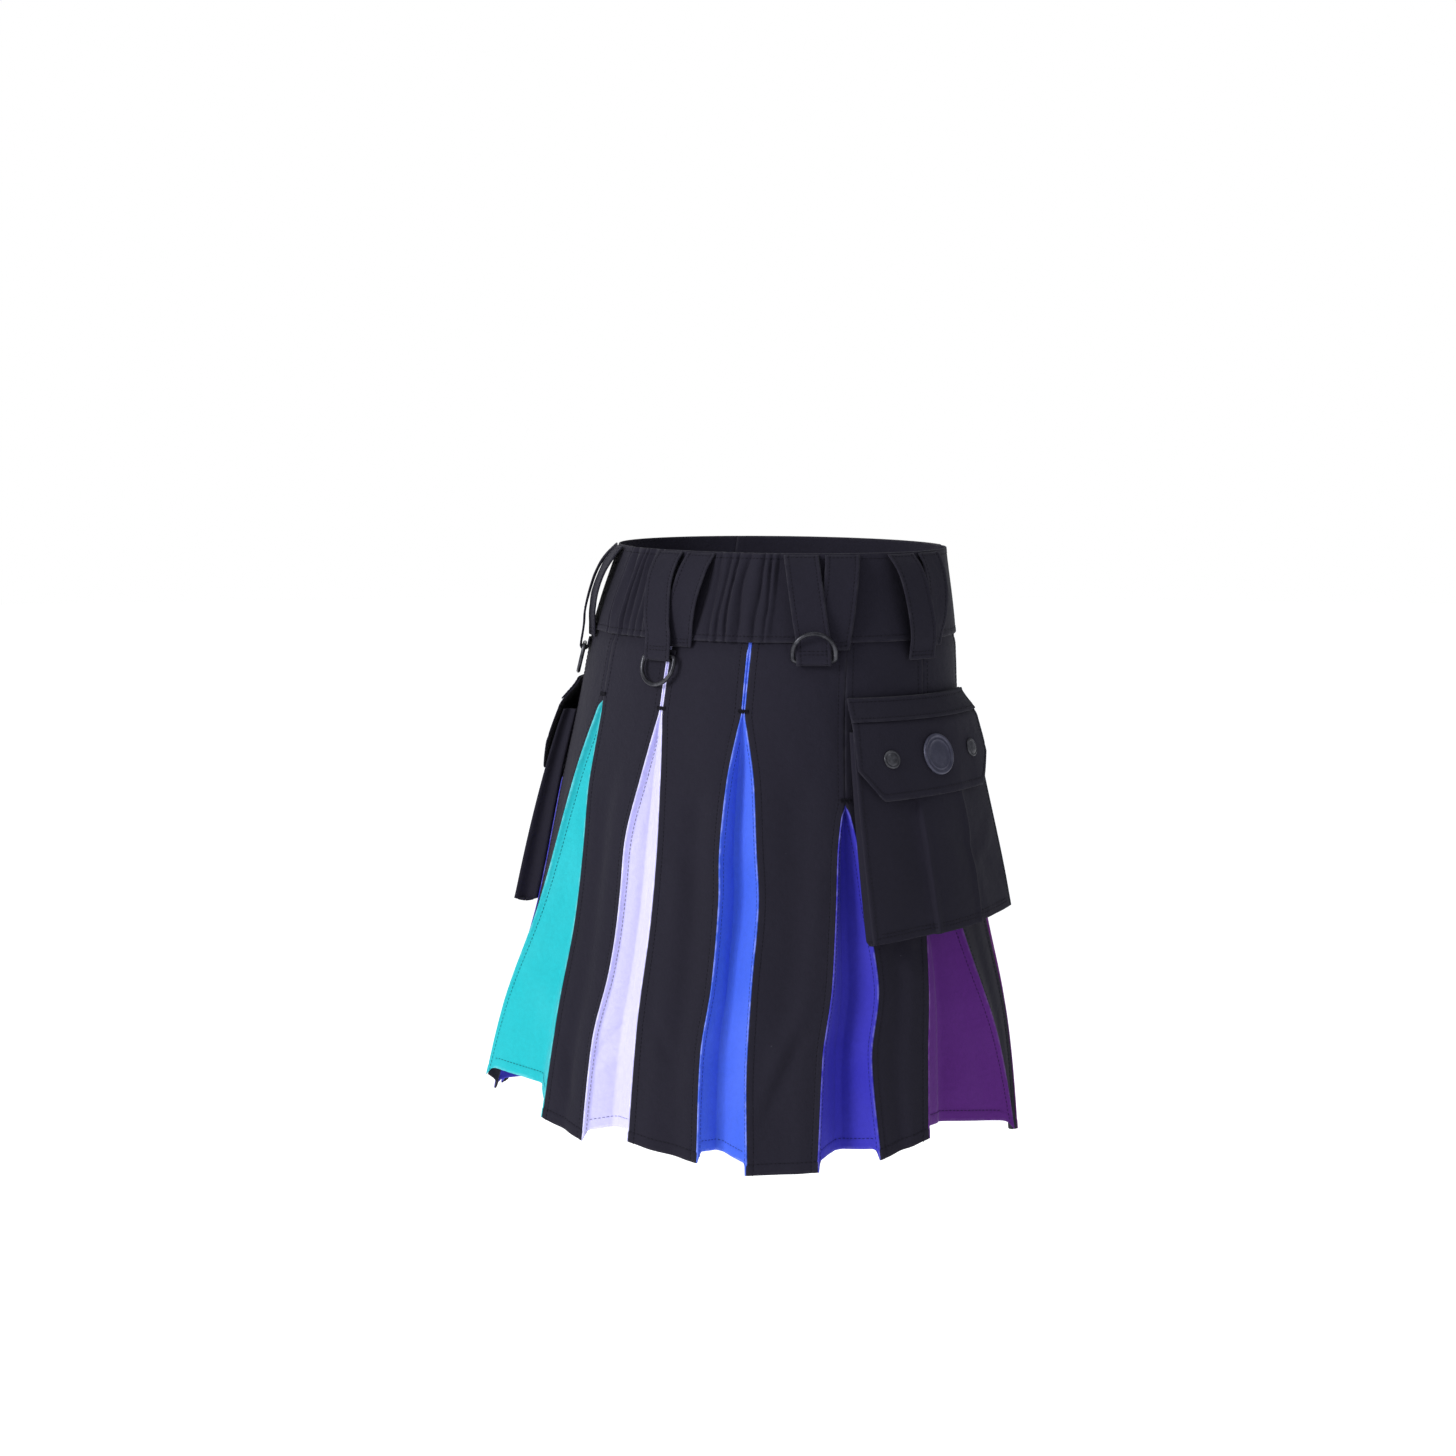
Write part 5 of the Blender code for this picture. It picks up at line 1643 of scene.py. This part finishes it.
def add_stage():
    """A pale floor well below the hem, soft lights and the camera."""
    back, right = add_camera()
    mesh = bpy.data.meshes.new("studio_floor")
    disc = bmesh.new()
    bmesh.ops.create_circle(disc, cap_ends=True, segments=96, radius=FLOOR_RADIUS)
    disc.to_mesh(mesh)
    disc.free()
    mesh.materials.append(finish_called("studio_floor"))
    floor = bpy.data.objects.new("studio_floor", mesh)
    floor.location = (0, 0, -FLOOR_DROP)
    bpy.context.scene.collection.objects.link(floor)
    for lamp in LAMPS:
        place = back * lamp.nearer + right * lamp.right + Vector((0, 0, lamp.up))
        add_softbox(lamp, place, chosen().light)
    world = bpy.data.worlds.new("studio")
    world.use_nodes = True
    sky = world.node_tree.nodes["Background"]
    sky.inputs["Color"].default_value = ROOM_COLOUR
    sky.inputs["Strength"].default_value = ROOM_LIGHT
    pad = Pad(world.node_tree)
    seen = pad.node("ShaderNodeBackground", {"Color": (1, 1, 1, 1), "Strength": 1.0})
    ray = pad.node("ShaderNodeLightPath").outputs["Is Camera Ray"]
    both = pad.node("ShaderNodeMixShader", {0: ray, 1: sky.outputs[0], 2: seen.outputs[0]})
    leave = world.node_tree.nodes["World Output"]
    world.node_tree.links.new(both.outputs[0], leave.inputs["Surface"])
    bpy.context.scene.world = world
    bpy.context.scene.view_settings.view_transform = "Standard"


def cloth_colour(title, what, value):
    return bpy.props.FloatVectorProperty(
        name=title, description=what, default=value, subtype="COLOR", size=3, min=0.0, max=1.0
    )


class KiltColours(bpy.types.PropertyGroup):
    """The colours of the cloth."""

    black: cloth_colour("Black", "Panels, waistband, loops and pockets", (0.0092, 0.0080, 0.0165))
    teal: cloth_colour("Teal", "First inset left of the centre back", (0.010, 0.42, 0.47))
    lavender: cloth_colour("Lavender", "Inset at the centre back", (0.56, 0.54, 0.86))
    blue: cloth_colour("Blue", "First inset right of the centre back", (0.045, 0.115, 0.66))
    indigo: cloth_colour("Indigo", "Second insets, behind the pockets", (0.026, 0.022, 0.38))
    purple: cloth_colour("Purple", "Third insets, below the pockets", (0.085, 0.012, 0.17))
    plum: cloth_colour("Plum", "Fourth insets, beside the aprons", (0.13, 0.015, 0.17))


def length_of(title, what, value):
    return bpy.props.FloatProperty(
        name=title, description=what, default=value, min=0.0, precision=5, unit="LENGTH"
    )


class KiltSettings(bpy.types.PropertyGroup):
    """What a user may change in the light and the sewing."""

    gather_height: length_of("Gathers", "How far the elastic lifts the waistband", 4.8 * MM)
    stitch_length: length_of("Stitch Length", "Length of a stitch", 2.7 * MM)
    stitch_pitch: length_of("Stitch Pitch", "From one stitch to the next", 3.6 * MM)
    thread: length_of("Thread", "Half the width of the sewing thread", 0.30 * MM)
    fold_strength: bpy.props.FloatProperty(
        name="Folds", description="How deep the black panels' folds are", default=1.9, min=0.0
    )
    light: bpy.props.FloatProperty(
        name="Light", description="Strength of the soft lights", default=1.0, min=0.1, max=5.0
    )


def skirt_neighbours():
    return zip(PLEATS, PANELS, PANELS[1:])


class KILT_OT_waistband(bpy.types.Operator):
    """Sews the gathered waistband"""

    bl_idname = "kilt.waistband"
    bl_label = "Waistband"

    def execute(self, context):
        add_waistband()
        return {"FINISHED"}


class KILT_OT_panels(bpy.types.Operator):
    """Sews the black panels and the two aprons"""

    bl_idname = "kilt.panels"
    bl_label = "Panels and Aprons"

    def execute(self, context):
        for panel in PANELS:
            add_panel(panel)
        return {"FINISHED"}


class KILT_OT_insets(bpy.types.Operator):
    """Sews the coloured insets and the bar tacks where they open"""

    bl_idname = "kilt.insets"
    bl_label = "Coloured Insets"

    def execute(self, context):
        tacks = []
        for pleat, before, after in skirt_neighbours():
            tacks += add_inset(pleat, before, after)
        stitch("pleat_bar_tacks", tacks, "thread_black", TACK_STITCHES)
        return {"FINISHED"}


class KILT_OT_loops(bpy.types.Operator):
    """Sews the forked belt loops and hangs their D rings"""

    bl_idname = "kilt.loops"
    bl_label = "Belt Loops and Rings"

    def execute(self, context):
        for n, loop in enumerate(LOOPS):
            name = f"loop_{loop.name}"
            seams = add_strap(f"{name}_a", loop, STRAP_A_OFFSETS, strap_a_path(loop), 20.0 + n)
            seams += add_strap(f"{name}_b", loop, STRAP_B_OFFSETS, strap_b_path(loop), 30.0 + n)
            stitch(f"{name}_stitches", seams, "thread_black")
            if loop.ring:
                add_ring(loop)
        return {"FINISHED"}


class KILT_OT_pockets(bpy.types.Operator):
    """Sews both cargo pockets, with their flaps, badges and snaps"""

    bl_idname = "kilt.pockets"
    bl_label = "Cargo Pockets"

    def execute(self, context):
        for side, name in ((1, "right"), (-1, "left")):
            add_pocket_bag(side, name)
            add_flap(side, name)
            add_flap_caps(side, name)
        return {"FINISHED"}


class KILT_OT_closures(bpy.types.Operator):
    """Sets the two front snaps"""

    bl_idname = "kilt.closures"
    bl_label = "Front Snaps"

    def execute(self, context):
        add_front_snaps()
        return {"FINISHED"}


class KILT_OT_stage(bpy.types.Operator):
    """Sets the floor, the lights and the camera"""

    bl_idname = "kilt.stage"
    bl_label = "Stage"

    def execute(self, context):
        add_stage()
        return {"FINISHED"}


OPERATORS = [
    KILT_OT_waistband, KILT_OT_panels, KILT_OT_insets, KILT_OT_loops,
    KILT_OT_pockets, KILT_OT_closures, KILT_OT_stage,
]


class KILT_PT_sidebar(bpy.types.Panel):
    """Lists the kilt's pieces and its settings"""

    bl_label = "Utility Kilt"
    bl_idname = "KILT_PT_sidebar"
    bl_space_type = "VIEW_3D"
    bl_region_type = "UI"
    bl_category = "Kilt"

    def draw(self, context):
        for name in KiltColours.__annotations__:
            self.layout.prop(context.scene.kilt_colours, name)
        for name in KiltSettings.__annotations__:
            self.layout.prop(context.scene.kilt_settings, name)
        for operator in OPERATORS:
            self.layout.operator(operator.bl_idname)


CLASSES = [KiltColours, KiltSettings, *OPERATORS, KILT_PT_sidebar]


def register():
    for each in CLASSES:
        bpy.utils.register_class(each)
    bpy.types.Scene.kilt_colours = bpy.props.PointerProperty(type=KiltColours)
    bpy.types.Scene.kilt_settings = bpy.props.PointerProperty(type=KiltSettings)


def unregister():
    del bpy.types.Scene.kilt_settings
    del bpy.types.Scene.kilt_colours
    for each in reversed(CLASSES):
        bpy.utils.unregister_class(each)


def main():
    register()
    bpy.ops.kilt.waistband()
    bpy.ops.kilt.panels()
    bpy.ops.kilt.insets()
    bpy.ops.kilt.loops()
    bpy.ops.kilt.pockets()
    bpy.ops.kilt.closures()
    bpy.ops.kilt.stage()


if __name__ == "__main__":
    main()
